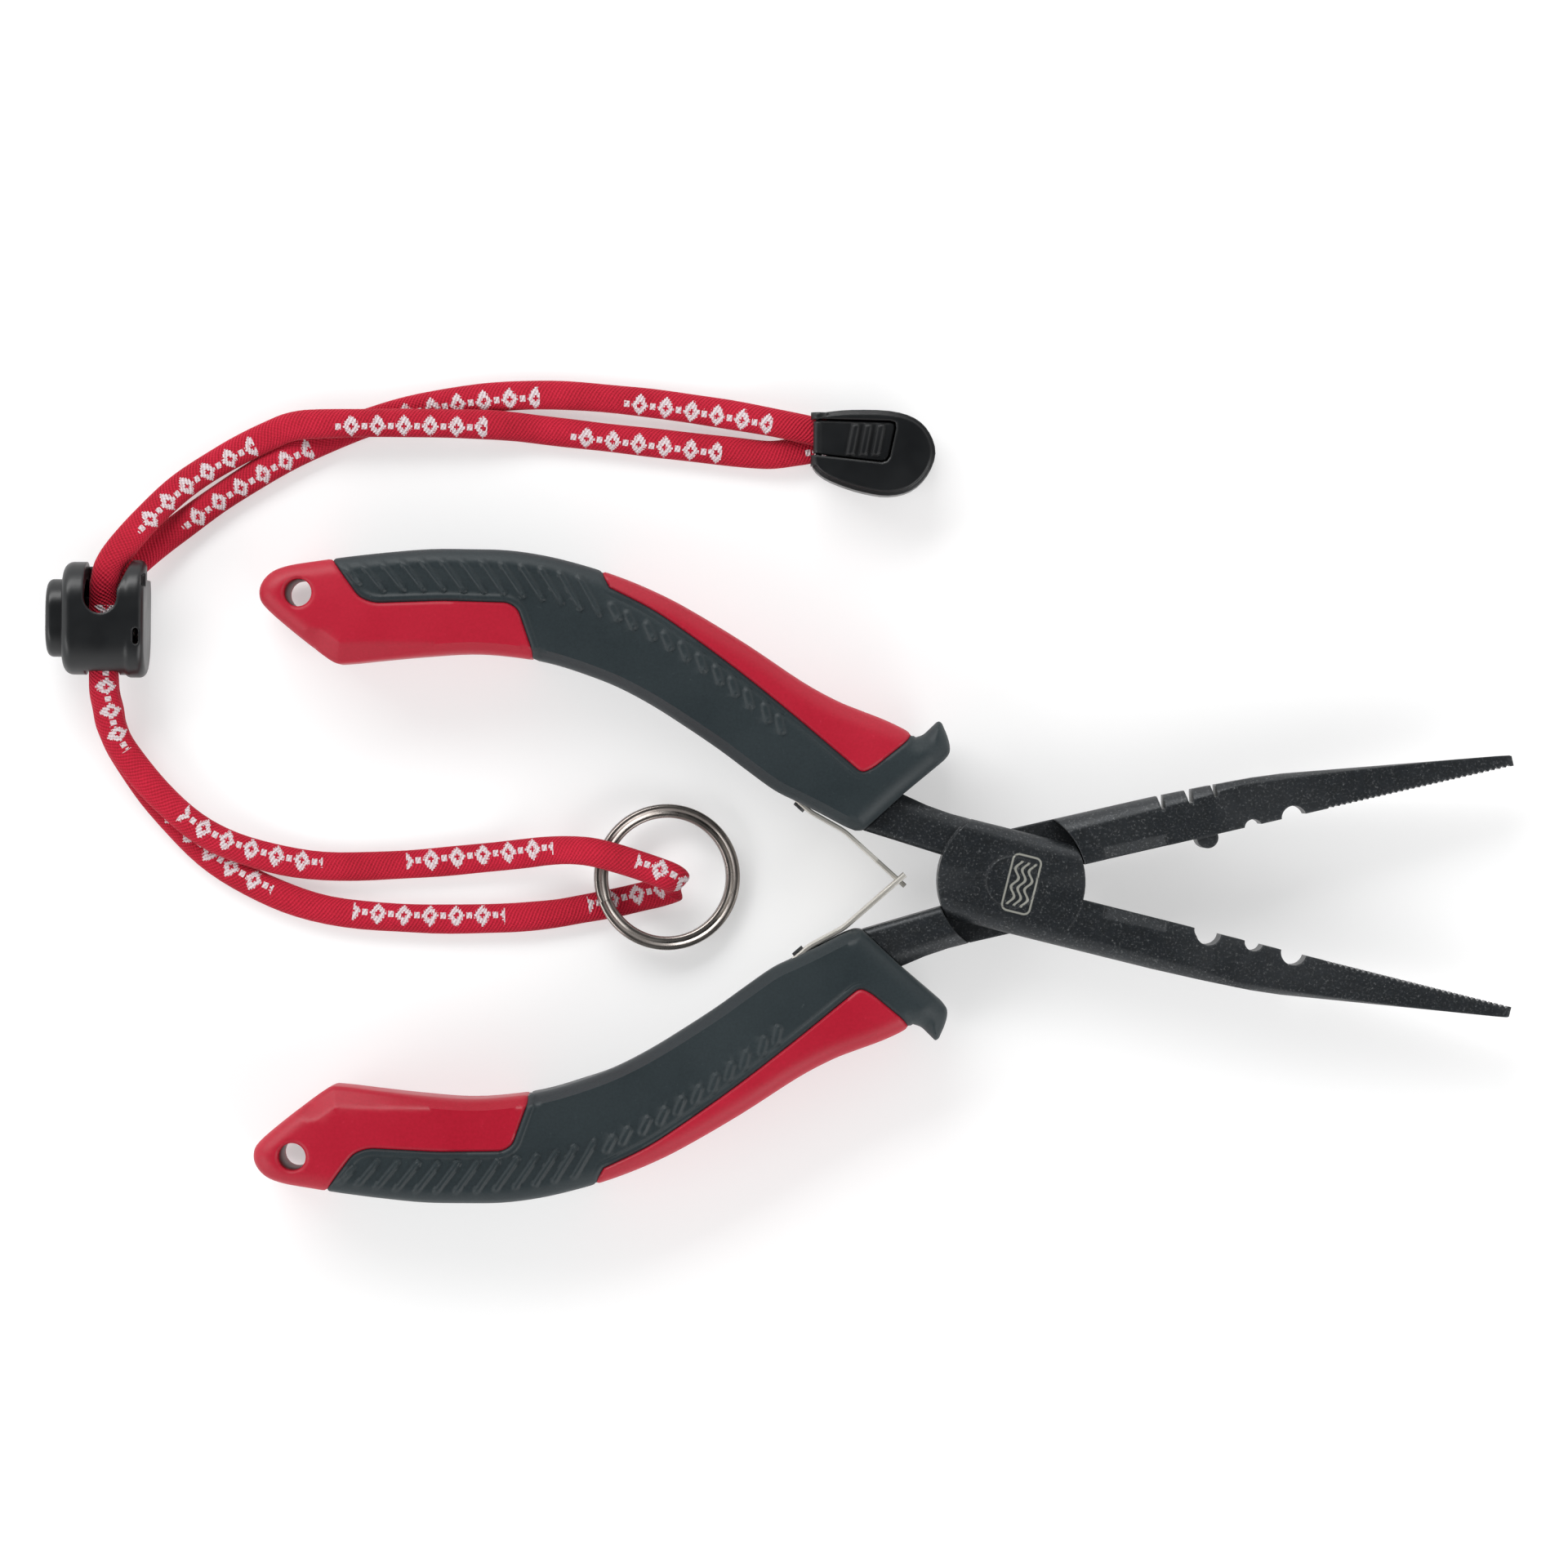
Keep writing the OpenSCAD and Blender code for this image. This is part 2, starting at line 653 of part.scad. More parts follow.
module lock_body() {
    color(plastic_colour) placed() translate(lock_at) difference() {
        union() {
            translate([lock_x0, 0, 0]) barrel(lock_length, lock_half, lock_spread, 1.6);
            translate([lock_x0 + lock_length - 3.6, 0, 0]) barrel(3.6, lock_half, lock_spread + 0.8, 1.2);
        }
        translate([lock_x0 - 2, 0, 0]) barrel(lock_length + 2 - lock_end_wall,
            plunger_half + slide_clearance, plunger_spread, 0.4);
        cord_passage(-cord_slot_half, cord_slot_half);
        translate([-cord_slot_half, 3.4, 0]) cube([2 * cord_slot_half, 20, 20]);
        translate([0, 3.4, 0]) cylinder(r = cord_slot_half, h = 20);
        translate([0.1, 5.2, 0]) rotate([0, 0, -22]) translate([-cord_slot_half, 0, 0])
            cube([2 * cord_slot_half, 20, 20]);
        translate([0.2, 3.2, -lock_half - 1]) rotate([0, 0, -42]) translate([-2.8, 0, 0])
            cube([5.8, 20, 8.1]);
        flange_hole(5.7, -2.9, 0.85);
        flange_hole(6.75, 6.1, 0.6);
    }
}

module lock_plunger() {
    color(plastic_colour) placed() translate(lock_at) difference() {
        translate([plunger_x0, 0, 0])
            barrel(plunger_x1 - plunger_x0, plunger_half, plunger_spread, 1);
        for (side = [0, 1]) mirror([0, side, 0])
            translate([lock_x0 + lock_travel + 0.4, stem_half, -far / 2]) cube([far, far, far]);
        translate([-4.4, -far / 2, cord_slot_z0]) cube([4.4 + cord_slot_half + 0.25, far, 20]);
    }
}

// A short coil spring between the button's foot and the body's end wall
module lock_spring() {
    turns = 2;
    steps = 12;
    sides = 6;
    wire = 0.22;
    coil_r = 3;
    x0 = plunger_x1 + wire + 0.02;
    x1 = lock_x0 + lock_length - lock_end_wall - wire - 0.02;
    count = turns * steps;
    rings = [for (i = [0:count]) let(a = 360 * i / steps) [for (k = [0:sides - 1]) let(b = 360 * k / sides)
        [x0 + (x1 - x0) * i / count + wire * sin(b), (coil_r + wire * cos(b)) * cos(a), (coil_r + wire * cos(b)) * sin(a)]]];
    faces = [for (i = [0:count - 1], k = [0:sides - 1]) let(n = (k + 1) % sides)
        [i * sides + k, (i + 1) * sides + k, (i + 1) * sides + n, i * sides + n]];
    caps = [[for (k = [0:sides - 1]) k], [for (k = [sides - 1:-1:0]) count * sides + k]];
    color(bright_colour) placed() translate(lock_at) polyhedron([for (r = rings, p = r) p], concat(faces, caps));
}

// ---- cord clip ----

module lid_axle(r, y) {
    translate([lid_hinge[0], y[0], lid_hinge[1]]) rotate([-90, 0, 0]) cylinder(r = r, h = y[1] - y[0]);
}

module clip_body() {
    color(plastic_colour) placed() difference() {
        union() {
            slab(inset(clip_ring, 1.2), 0, 1.4);
            slab(clip_ring, 1.4, clip_thick - 1.4);
            slab(inset(clip_ring, 0.6), clip_thick - 1.4, clip_thick);
            for (y = ears) {
                lid_axle(ear_r, y);
                translate([lid_hinge[0] - ear_r, y[0], clip_ceiling])
                    cube([2 * ear_r, y[1] - y[0], lid_hinge[1] - clip_ceiling]);
            }
        }
        slab(inset(clip_ring, clip_wall), clip_floor, clip_ceiling);
        slab(inset(lid_outline, ledge), clip_ceiling - 1, clip_thick);
        slab(inset(lid_outline, -lid_gap), lid_bottom - lid_gap, clip_thick + 1);
        translate([-34, 66.4, clip_floor]) cube([4.4, 7.3, clip_ceiling - clip_floor]);
        translate([-34, ears[0][1], clip_ceiling - 1]) cube([4, ears[1][0] - ears[0][1], clip_thick]);
        lid_axle(trunnion_r + 0.05, [trunnion_y[0] - 0.05, trunnion_y[1] + 0.05]);
    }
}

// The lid closes over the knot and has three slanting grip ribs
module clip_lid() {
    color(plastic_colour) placed() {
        slab(lid_outline, lid_bottom, lid_bottom + lid_thick);
        lid_axle(knuckle_r, knuckle_y);
        lid_axle(trunnion_r, trunnion_y);
        for (i = [0:2]) translate([-26.2 + 2 * i, 0, 0])
            slab([[-0.5, 67.6], [0.5, 67.6], [1.4, 72.4], [0.4, 72.4]], lid_bottom + 1, clip_thick);
    }
}

front_half();
back_half();
pivot_rivet();
upper_grip_core();
upper_grip_cover();
lower_grip_core();
lower_grip_cover();
upper_spring_foot();
upper_spring_blade();
upper_spring_rivet();
lower_spring_foot();
lower_spring_blade();
lower_spring_rivet();
split_ring();
lanyard_cord();
end_knot();
lock_body();
lock_plunger();
lock_spring();
clip_body();
clip_lid();
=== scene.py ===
"""Looks of the fishing pliers and their lanyard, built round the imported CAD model."""

import math

import bmesh
import bpy
import numpy as np
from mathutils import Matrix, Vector
from mathutils.geometry import delaunay_2d_cdt


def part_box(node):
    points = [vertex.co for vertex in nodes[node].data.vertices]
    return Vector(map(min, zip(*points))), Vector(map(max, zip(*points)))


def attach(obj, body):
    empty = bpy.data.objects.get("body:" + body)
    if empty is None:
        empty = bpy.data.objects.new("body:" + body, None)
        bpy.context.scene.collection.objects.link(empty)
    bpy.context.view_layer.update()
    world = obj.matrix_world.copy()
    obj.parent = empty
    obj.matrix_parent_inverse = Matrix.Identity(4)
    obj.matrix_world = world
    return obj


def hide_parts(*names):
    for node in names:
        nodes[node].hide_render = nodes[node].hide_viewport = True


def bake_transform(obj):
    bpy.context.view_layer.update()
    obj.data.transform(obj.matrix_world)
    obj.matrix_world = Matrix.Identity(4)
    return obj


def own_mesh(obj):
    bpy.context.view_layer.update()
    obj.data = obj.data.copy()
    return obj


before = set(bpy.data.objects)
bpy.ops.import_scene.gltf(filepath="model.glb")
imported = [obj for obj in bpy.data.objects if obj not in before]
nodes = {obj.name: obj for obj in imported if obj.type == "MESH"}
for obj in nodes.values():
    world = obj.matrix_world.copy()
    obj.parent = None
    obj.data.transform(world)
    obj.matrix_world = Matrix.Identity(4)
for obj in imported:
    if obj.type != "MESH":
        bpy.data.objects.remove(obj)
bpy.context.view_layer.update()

# Plan outlines are in millimetres about the pivot, with the handles closed, as in the CAD.
MM = 0.001
PIVOT_X = 20.0
OPEN = math.radians(13.5)
MID = 8.0


# ---------------------------------------------------------------- camera

def add_camera():
    data = bpy.data.cameras.new("camera")
    data.sensor_width = 36
    data.lens = 36 * 0.9 / 0.2496
    cam = bpy.data.objects.new("camera", data)
    cam.location = (-0.0162, 0.0151, 0.908)
    cam.rotation_euler = (0, 0, math.radians(0.581))
    bpy.context.scene.collection.objects.link(cam)
    bpy.context.scene.camera = cam


add_camera()


# ---------------------------------------------------------------- shader helpers

class Shader:
    """A Principled material with short calls for adding and linking nodes."""

    def __init__(self, name, base, rough, metal=0.0, **sockets):
        self.mat = bpy.data.materials.new(name)
        self.mat.use_nodes = True
        self.tree = self.mat.node_tree
        self.tree.nodes.clear()
        self.out = self.tree.nodes.new("ShaderNodeOutputMaterial")
        self.bsdf = self.tree.nodes.new("ShaderNodeBsdfPrincipled")
        self.link(self.bsdf.outputs[0], self.out.inputs[0])
        self.put("Base Color", (*base, 1))
        self.put("Roughness", rough)
        self.put("Metallic", metal)
        for key, value in sockets.items():
            self.put(key.replace("_", " "), value)

    def put(self, socket, value):
        self.bsdf.inputs[socket].default_value = value

    def link(self, a, b):
        self.tree.links.new(a, b)

    def node(self, kind, attrs=None, **inputs):
        n = self.tree.nodes.new("ShaderNode" + kind)
        for key, value in (attrs or {}).items():
            setattr(n, key, value)
        for key, value in inputs.items():
            socket = n.inputs[int(key[1:])] if key[0] == "i" and key[1:].isdigit() else n.inputs[key]
            if isinstance(value, bpy.types.NodeSocket):
                self.link(value, socket)
            else:
                socket.default_value = value
        return n

    def coords(self):
        return self.node("TexCoord").outputs["Object"]

    def math(self, op, a, b=0.0, c=0.0):
        return self.node("Math", {"operation": op}, i0=a, i1=b, i2=c).outputs[0]

    def noise(self, scale, detail=2.0, where=None, rough=0.5):
        return self.node("TexNoise", Vector=where or self.coords(), Scale=scale, Detail=detail,
                         Roughness=rough).outputs[0]

    def ramp(self, value, stops):
        n = self.node("ValToRGB", Fac=value)
        while len(n.color_ramp.elements) < len(stops):
            n.color_ramp.elements.new(0.5)
        for element, (at, colour) in zip(n.color_ramp.elements, stops):
            element.position = at
            element.color = (*colour, 1) if len(colour) == 3 else colour
        return n.outputs[0]

    def span(self, value, a, b, c, d):
        ends = {"From Min": a, "From Max": b, "To Min": c, "To Max": d}
        return self.node("MapRange", Value=value, **ends).outputs[0]

    def mix(self, fac, a, b):
        n = self.node("Mix", {"data_type": "RGBA"})
        for socket, value in ((n.inputs[0], fac), (n.inputs[6], a), (n.inputs[7], b)):
            if isinstance(value, bpy.types.NodeSocket):
                self.link(value, socket)
            else:
                socket.default_value = value if socket is n.inputs[0] else (*value, 1)
        return n.outputs[2]

    def bump(self, height, strength, distance, after=None):
        n = self.node("Bump", Height=height, Strength=strength, Distance=distance)
        if after:
            self.link(after, n.inputs["Normal"])
        return n.outputs[0]

    def use(self, socket, value):
        self.link(value, self.bsdf.inputs[socket])


def give(obj, *shaders):
    obj.data.materials.clear()
    for s in shaders:
        obj.data.materials.append(s.mat)


# ---------------------------------------------------------------- materials

def rubber_grey():
    s = Shader("grip_grey_rubber", (0.014, 0.024, 0.028), 0.5, Specular_IOR_Level=0.38, Sheen_Weight=0.05,
               Sheen_Roughness=0.5)
    fine = s.noise(2600, 3)
    broad = s.noise(60, 4)
    dust = s.noise(900, 2, rough=0.7)
    tone = s.math("ADD", s.math("MULTIPLY", fine, 0.55), s.math("MULTIPLY", broad, 0.45))
    base = s.ramp(tone, [(0.3, (0.0085, 0.0150, 0.0180)), (0.72, (0.0150, 0.0250, 0.0290))])
    s.use("Base Color", s.mix(s.span(dust, 0.70, 0.82, 0, 0.35), base, (0.075, 0.095, 0.10)))
    s.use("Roughness", s.span(broad, 0.3, 0.7, 0.46, 0.58))
    s.use("Normal", s.bump(fine, 0.28, 0.00006))
    return s


def plastic_red():
    s = Shader("grip_red_plastic", (0.45, 0.008, 0.026), 0.42, Specular_IOR_Level=0.36)
    fine = s.noise(2200, 3)
    broad = s.noise(45, 4)
    dust = s.noise(1300, 2, rough=0.7)
    tone = s.math("ADD", s.math("MULTIPLY", fine, 0.45), s.math("MULTIPLY", broad, 0.55))
    base = s.ramp(tone, [(0.3, (0.32, 0.0035, 0.017)), (0.7, (0.42, 0.0060, 0.026))])
    s.use("Base Color", s.mix(s.span(dust, 0.68, 0.8, 0, 0.3), base, (0.55, 0.04, 0.08)))
    s.use("Roughness", s.span(broad, 0.3, 0.7, 0.38, 0.5))
    s.use("Normal", s.bump(fine, 0.22, 0.00005))
    return s


def black_steel(name="black_phosphate_steel", mark=None):
    s = Shader(name, (0.018, 0.021, 0.024), 0.42, 0.3, Specular_IOR_Level=0.45)
    grain = s.noise(2600, 2, rough=0.75)
    mottle = s.noise(700, 3, rough=0.6)
    broad = s.noise(90, 5)
    speck = s.ramp(grain, [(0.0, (0.008, 0.0095, 0.0105)), (0.52, (0.013, 0.0155, 0.0175)),
                           (0.62, (0.038, 0.041, 0.044)), (0.74, (0.14, 0.145, 0.147))])
    colour = s.mix(s.span(mottle, 0.35, 0.7, 0.0, 0.5), speck, (0.016, 0.020, 0.025))
    edge = s.node("Bevel", {"samples": 6}, Radius=0.0005).outputs[0]
    # painted highlight: where pointiness is high, on convex edges, the colour is mixed towards a lighter grey
    painted_edge_highlight = s.node("NewGeometry").outputs["Pointiness"]
    colour = s.mix(s.span(painted_edge_highlight, 0.57, 0.68, 0.0, 0.3), colour, (0.10, 0.105, 0.11))
    normal = s.bump(grain, 0.45, 0.00006, edge)
    s.use("Roughness", s.span(broad, 0.3, 0.75, 0.34, 0.5))
    if mark:
        colour = s.mix(mark(s), colour, (0.36, 0.36, 0.32))
    s.use("Base Color", colour)
    s.use("Normal", normal)
    return s


def wave_mark(s):
    """A generic etched badge on the joint: a thin rounded bar frame round three small waves."""
    turn = s.node("VectorRotate", {"rotation_type": "Z_AXIS"}, Vector=s.coords(),
                  Center=(PIVOT_X * MM, 0, 0), Angle=OPEN)
    part = s.node("SeparateXYZ", Vector=turn.outputs[0])
    x = s.math("MULTIPLY", s.math("SUBTRACT", part.outputs[0], (PIVOT_X + 1.6) * MM), 1000)
    y = s.math("MULTIPLY", part.outputs[1], 1000)
    wave = s.math("MULTIPLY", s.math("SINE", s.math("MULTIPLY", y, 2.1)), 0.42)
    total = None
    for offset in (-1.1, 0.0, 1.1):
        d = s.math("ABSOLUTE", s.math("SUBTRACT", s.math("SUBTRACT", x, offset), wave))
        line = s.span(d, 0.16, 0.26, 1, 0)
        total = line if total is None else s.math("MAXIMUM", total, line)
    inside = s.span(s.math("ABSOLUTE", y), 3.5, 3.7, 1, 0)
    total = s.math("MULTIPLY", total, inside)
    box_x = s.math("SUBTRACT", s.math("ABSOLUTE", x), 1.3)
    box_y = s.math("SUBTRACT", s.math("ABSOLUTE", y), 3.6)
    reach = s.math("SQRT", s.math("ADD", s.math("POWER", s.math("MAXIMUM", box_x, 0.0), 2.0),
                                  s.math("POWER", s.math("MAXIMUM", box_y, 0.0), 2.0)))
    rim = s.span(s.math("ABSOLUTE", s.math("SUBTRACT", reach, 0.95)), 0.10, 0.2, 1, 0)
    up = s.node("SeparateXYZ", Vector=s.node("NewGeometry").outputs["Normal"]).outputs[2]
    etched = s.math("MULTIPLY", s.math("MAXIMUM", total, rim), 0.85)
    return s.math("MULTIPLY", etched, s.span(up, 0.7, 0.9, 0, 1))


def bright_steel():
    s = Shader("spring_steel", (0.60, 0.58, 0.53), 0.42, 0.75)
    streak = s.node("Mapping", Vector=s.coords(), Scale=(60, 60, 1400)).outputs[0]
    lines = s.noise(1.0, 3, streak)
    s.use("Base Color", s.ramp(lines, [(0.3, (0.54, 0.52, 0.47)), (0.7, (0.68, 0.66, 0.61))]))
    s.use("Roughness", s.span(lines, 0.3, 0.7, 0.36, 0.5))
    s.use("Normal", s.bump(lines, 0.1, 0.00003, s.node("Bevel", {"samples": 4}, Radius=0.0001).outputs[0]))
    return s


def dark_nickel():
    s = Shader("dark_nickel", (0.26, 0.235, 0.215), 0.26, 1.0)
    fine = s.noise(700, 3)
    broad = s.noise(140, 2)
    s.use("Base Color", s.ramp(broad, [(0.35, (0.21, 0.185, 0.17)), (0.7, (0.36, 0.33, 0.305))]))
    s.use("Roughness", s.span(fine, 0.3, 0.7, 0.24, 0.34))
    return s


def black_plastic():
    s = Shader("black_plastic", (0.005, 0.006, 0.007), 0.33, Specular_IOR_Level=0.42)
    fine = s.noise(1800, 3)
    broad = s.noise(110, 3)
    s.use("Base Color", s.ramp(broad, [(0.3, (0.0045, 0.0052, 0.006)), (0.7, (0.0085, 0.0095, 0.0105))]))
    s.use("Roughness", s.span(broad, 0.3, 0.7, 0.27, 0.4))
    s.use("Normal", s.bump(fine, 0.12, 0.00004, s.node("Bevel", {"samples": 8}, Radius=0.0007).outputs[0]))
    return s


def woven_cord():
    """Red tubular tape: fine twill ribs, and a pale woven chain of bars and chevrons in stretches."""
    s = Shader("woven_cord", (0.5, 0.006, 0.03), 0.75, Specular_IOR_Level=0.25, Sheen_Weight=0.12,
               Sheen_Roughness=0.4)
    uv = s.node("UVMap", {"uv_map": "UVMap"})
    part = s.node("SeparateXYZ", Vector=uv.outputs[0])
    along = s.math("MULTIPLY", part.outputs[0], 1000.0)
    turn = s.math("MULTIPLY", part.outputs[1], 2 * math.pi)
    across = s.math("MULTIPLY", s.math("COSINE", turn), 2.35)
    girth = s.math("MULTIPLY", part.outputs[1], 10.8)
    # twill: fine diagonal ribs, each broken up by the threads that cross it
    twill = s.math("SINE", s.math("MULTIPLY", s.math("ADD", along, s.math("MULTIPLY", girth, 0.8)),
                                  2 * math.pi / 0.6))
    cross = s.math("SINE", s.math("MULTIPLY", s.math("SUBTRACT", s.math("MULTIPLY", along, 0.45), girth),
                                  2 * math.pi / 0.36))
    fuzz = s.noise(3200, 3)
    weave = s.math("ADD", s.math("ADD", s.math("MULTIPLY", twill, 0.55), s.math("MULTIPLY", cross, 0.25)),
                   s.math("MULTIPLY", s.math("SUBTRACT", fuzz, 0.5), 0.9))
    cloud = s.noise(150, 3)
    # the pale motif, snapped to the threads so that its edges step
    fray = s.math("MULTIPLY", s.math("SUBTRACT", s.noise(2100, 2), 0.5), 0.7)
    step_u = s.math("ADD", s.math("SNAP", along, 0.3), fray)
    step_v = s.math("ADD", s.math("SNAP", s.math("SUBTRACT", across, 0.35), 0.3), fray)
    high = s.math("ABSOLUTE", step_v)
    one = s.math("ABSOLUTE", s.math("SUBTRACT", s.math("MODULO", step_u, 4.2), 2.1))
    radius = s.math("ADD", one, s.math("MULTIPLY", high, 0.85))
    diamond = s.math("LESS_THAN", s.math("ABSOLUTE", s.math("SUBTRACT", radius, 0.95)), 0.46)
    dot = s.math("LESS_THAN", s.math("MAXIMUM", s.math("ABSOLUTE", s.math("SUBTRACT", one, 2.1)), high), 0.42)
    motif = s.math("MAXIMUM", diamond, dot)
    stretch = s.math("LESS_THAN", s.math("MODULO", s.math("ADD", along, 24.0), 38.0), 24.5)
    motif = s.math("MULTIPLY", motif, stretch)
    tone = s.math("ADD", s.math("MULTIPLY", weave, 0.26), s.math("ADD", s.math("MULTIPLY", cloud, 0.4), 0.3))
    red = s.ramp(tone, [(0.15, (0.24, 0.002, 0.010)), (0.5, (0.47, 0.0050, 0.026)),
                        (0.9, (0.66, 0.016, 0.055))])
    pale = s.ramp(s.math("ADD", s.math("MULTIPLY", weave, 0.3), 0.5),
                  [(0.1, (0.42, 0.22, 0.25)), (0.6, (0.74, 0.66, 0.68))])
    s.use("Base Color", s.mix(motif, red, pale))
    s.use("Normal", s.bump(weave, 0.8, 0.00012, s.bump(motif, 0.3, 0.0001)))
    return s


GREY, RED, STEEL = rubber_grey(), plastic_red(), black_steel()
MARKED, BRIGHT, NICKEL = black_steel("black_steel_with_mark", wave_mark), bright_steel(), dark_nickel()
BLACK, CORD = black_plastic(), woven_cord()


# ---------------------------------------------------------------- curve helpers

def smooth_line(points, steps):
    """The CAD's smooth open curve through the points."""
    p = np.array(points, float)
    out = []
    for i in range(len(p) - 1):
        a, b, c, d = p[max(i - 1, 0)], p[i], p[i + 1], p[min(i + 2, len(p) - 1)]
        for j in range(steps):
            t = j / steps
            out.append(0.5 * (2 * b + (c - a) * t + (2 * a - 5 * b + 4 * c - d) * t * t
                              + (3 * b - a - 3 * c + d) * t ** 3))
    out.append(p[-1])
    return np.array(out)


def rounded(points, radius, steps=4):
    """An open line with each of its inner corners rounded."""
    p = [np.array(q, float) for q in points]
    out = [p[0]]
    for a, b, c in zip(p, p[1:], p[2:]):
        cut = min(radius, np.linalg.norm(a - b) * 0.45, np.linalg.norm(c - b) * 0.45)
        s = b + (a - b) / np.linalg.norm(a - b) * cut
        e = b + (c - b) / np.linalg.norm(c - b) * cut
        out += [(1 - t) ** 2 * s + 2 * t * (1 - t) * b + t * t * e for t in np.linspace(0, 1, steps)]
    out.append(p[-1])
    return np.array(out)


def spaced(points, gap, closed=False):
    """More points along a line, so that none are further apart than gap."""
    p = np.array(points, float)
    if closed:
        p = np.vstack([p, p[:1]])
    out = []
    for a, b in zip(p[:-1], p[1:]):
        n = max(1, int(math.ceil(np.linalg.norm(b - a) / gap)))
        out += [a + (b - a) * k / n for k in range(n)]
    if not closed:
        out.append(p[-1])
    return np.array(out)


def gap_to(points, line, closed=False):
    """Distance of each point from a line."""
    q = np.array(points, float)
    a = np.array(line, float)
    b = np.roll(a, -1, axis=0) if closed else a[1:]
    a = a if closed else a[:-1]
    ab = b - a
    length2 = np.maximum((ab ** 2).sum(1), 1e-12)
    best = np.full(len(q), 1e9)
    for lo in range(0, len(q), 2000):
        chunk = q[lo:lo + 2000]
        t = np.clip(((chunk[:, None] - a[None]) * ab[None]).sum(2) / length2, 0, 1)
        near = a[None] + t[..., None] * ab[None]
        best[lo:lo + 2000] = np.sqrt(((chunk[:, None] - near) ** 2).sum(2)).min(1)
    return best


def inside(points, poly):
    q = np.array(points, float)
    p = np.array(poly, float)
    x, y = q[:, 0], q[:, 1]
    odd = np.zeros(len(q), bool)
    for (x1, y1), (x2, y2) in zip(p, np.roll(p, -1, axis=0)):
        hit = (y1 > y) != (y2 > y)
        with np.errstate(divide="ignore", invalid="ignore"):
            at = x1 + (y - y1) * (x2 - x1) / (y2 - y1 if y2 != y1 else 1e-12)
        odd ^= hit & (x < at)
    return odd


def step_up(a, b, v):
    t = np.clip((v - a) / (b - a), 0, 1)
    return t * t * (3 - 2 * t)


def split(poly, line):
    """The two closed outlines that an open line cuts a closed one into."""
    hits = []
    n = len(poly)
    for j in range(len(line) - 1):
        for i in range(n):
            a, b, c, d = poly[i], poly[(i + 1) % n], line[j], line[j + 1]
            r, s = b - a, d - c
            den = r[0] * s[1] - r[1] * s[0]
            if abs(den) < 1e-12:
                continue
            t = ((c - a)[0] * s[1] - (c - a)[1] * s[0]) / den
            u = ((c - a)[0] * r[1] - (c - a)[1] * r[0]) / den
            if 0 <= t < 1 and 0 <= u < 1:
                hits.append((j + u, i, a + r * t))
    hits.sort(key=lambda h: h[0])
    (u0, i0, p0), (u1, i1, p1) = hits[0], hits[-1]
    mid = [line[k] for k in range(int(u0) + 1, int(u1) + 1)]

    def run(i, j):
        out, k = [], i
        while k != j:
            k = (k + 1) % n
            out.append(poly[k])
        return out

    first = [p0] + run(i0, i1) + [p1] + mid[::-1]
    second = [p1] + run(i1, i0) + [p0] + mid
    return np.array(first), np.array(second), np.array([p0] + mid + [p1])


# ---------------------------------------------------------------- mesh helpers

def new_object(name, verts, faces, shader, body, slot, smooth_angle=40):
    mesh = bpy.data.meshes.new(name)
    mesh.from_pydata([tuple(v) for v in verts], [], faces)
    mesh.validate()
    obj = bpy.data.objects.new(name, mesh)
    bpy.context.scene.collection.objects.link(obj)
    bm = bmesh.new()
    bm.from_mesh(mesh)
    bmesh.ops.recalc_face_normals(bm, faces=bm.faces)
    bm.to_mesh(mesh)
    bm.free()
    for poly in mesh.polygons:
        poly.use_smooth = True
    mesh.set_sharp_from_angle(angle=math.radians(smooth_angle))
    give(obj, shader)
    if body:
        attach(obj, body)
    return obj


